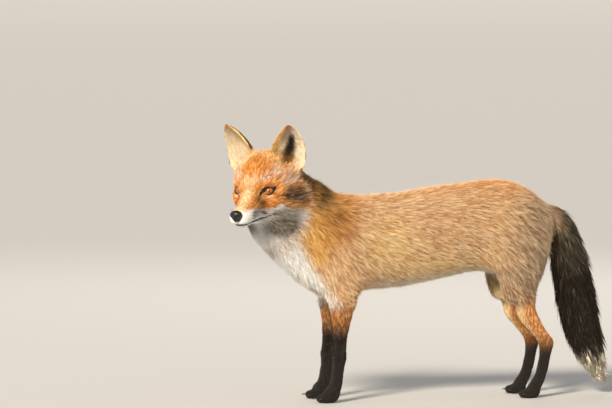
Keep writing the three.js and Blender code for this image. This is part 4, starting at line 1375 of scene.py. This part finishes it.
whiskers = smooth_piece("whiskers", whisker_mesh)
BRISTLE_STREAK = 0.004
bristle = Finish("whisker_finish", specular=0.4)
bristle_streaks = bristle.noise(BRISTLE_STREAK, 2.0)
bristle.set(base_color=bristle_streaks.between(shade("#0e0a08"), shade("#3a2a20")),
            roughness=bristle_streaks * 0.2 + 0.35)
whisker_mesh.materials.append(bristle.material)
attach(whiskers, "root")

# ---- Stage, light and camera ----
# A pale floor without an edge. A warm broad lamp stands high at the fox's front left, with weak ones low in
# front, at the side and behind, and a narrow one on the left ear's inner wall. The lens is long.

FLOOR_PROFILE = [(0, 0), (50, 0), (80, 0.6), (100, 3), (115, 9), (122, 18)]  # out and up, in metres

floor_bmesh = bmesh.new()
profile = [floor_bmesh.verts.new((out, 0, up)) for out, up in FLOOR_PROFILE]
profile_edges = [floor_bmesh.edges.new(pair) for pair in zip(profile, profile[1:])]
bmesh.ops.spin(floor_bmesh, geom=profile + profile_edges, cent=(0, 0, 0), axis=(0, 0, 1), angle=2 * pi,
               steps=64, use_merge=True)
bmesh.ops.remove_doubles(floor_bmesh, verts=floor_bmesh.verts, dist=1e-4)
bmesh.ops.recalc_face_normals(floor_bmesh, faces=floor_bmesh.faces)
floor_mesh = mesh_from(floor_bmesh, "floor")
floor = smooth_piece("floor", floor_mesh)
floor_finish = Finish("floor_finish", base_color=(0.56, 0.55, 0.53), roughness=0.9, specular=0.1)
floor_mesh.materials.append(floor_finish.material)


def lamp(name, kind, colour, strength, place, aim, **settings):
    """A soft lamp, turned to face what it lights."""
    light = bpy.data.lights.new(name, kind)
    light.energy, light.color = strength, colour
    for setting, value in settings.items():
        setattr(light, setting, value)
    holder = bpy.data.objects.new(name, light)
    holder.location = place
    holder.rotation_mode = "QUATERNION"
    holder.rotation_quaternion = (Vector(aim) - Vector(place)).to_track_quat("-Z", "Y")
    bpy.context.scene.collection.objects.link(holder)


lamp("key_lamp", "SUN", (1.0, 0.895, 0.76), 4.7, (-2.6, -3.1, 3.1), (0, 0, 0.3), angle=radians(14))
lamp("front_lamp", "AREA", (1.0, 0.92, 0.8), 12, (0.3, -3.2, 0.8), (-0.1, 0, 0.35), size=1.6)
lamp("side_lamp", "AREA", (1.0, 0.9, 0.76), 7, (-2.4, -0.3, 1.5), (-0.25, 0, 0.4), size=0.7)
lamp("ear_lamp", "SPOT", (1.0, 0.9, 0.76), 170, (1.9, -2.7, 0.25), (-0.272, -0.022, 0.462),
     spot_size=radians(4.2), spot_blend=0.9, shadow_soft_size=0.12)
lamp("back_lamp", "AREA", (1.0, 0.96, 0.9), 26, (1.0, 2.8, 2.4), (0, 0, 0.3), size=2.0)

SKY_COLOUR, SKY_STRENGTH = (0.93, 0.95, 1.0, 1), 0.36
world = bpy.data.worlds.new("studio")
world.use_nodes = True
sky = world.node_tree.nodes["Background"]
sky.inputs["Color"].default_value = SKY_COLOUR
sky.inputs["Strength"].default_value = SKY_STRENGTH
bpy.context.scene.world = world

CAMERA_TURN, CAMERA_RISE, CAMERA_DISTANCE = radians(-14), radians(3), 7.0
LENS, SENSOR, FAR_CLIP = 228.8, 36, 1000
AIM = Vector((-0.2015, 0.0290, 0.3557))
back = Vector((sin(CAMERA_TURN) * cos(CAMERA_RISE), -cos(CAMERA_TURN) * cos(CAMERA_RISE), sin(CAMERA_RISE)))
camera_data = bpy.data.cameras.new("camera")
camera_data.lens, camera_data.sensor_width, camera_data.clip_end = LENS, SENSOR, FAR_CLIP
camera = bpy.data.objects.new("camera", camera_data)
camera.location = AIM + back * CAMERA_DISTANCE
camera.rotation_mode = "QUATERNION"
camera.rotation_quaternion = back.to_track_quat("Z", "Y")
bpy.context.scene.collection.objects.link(camera)
bpy.context.scene.camera = camera
bpy.context.scene.view_settings.view_transform = "Standard"
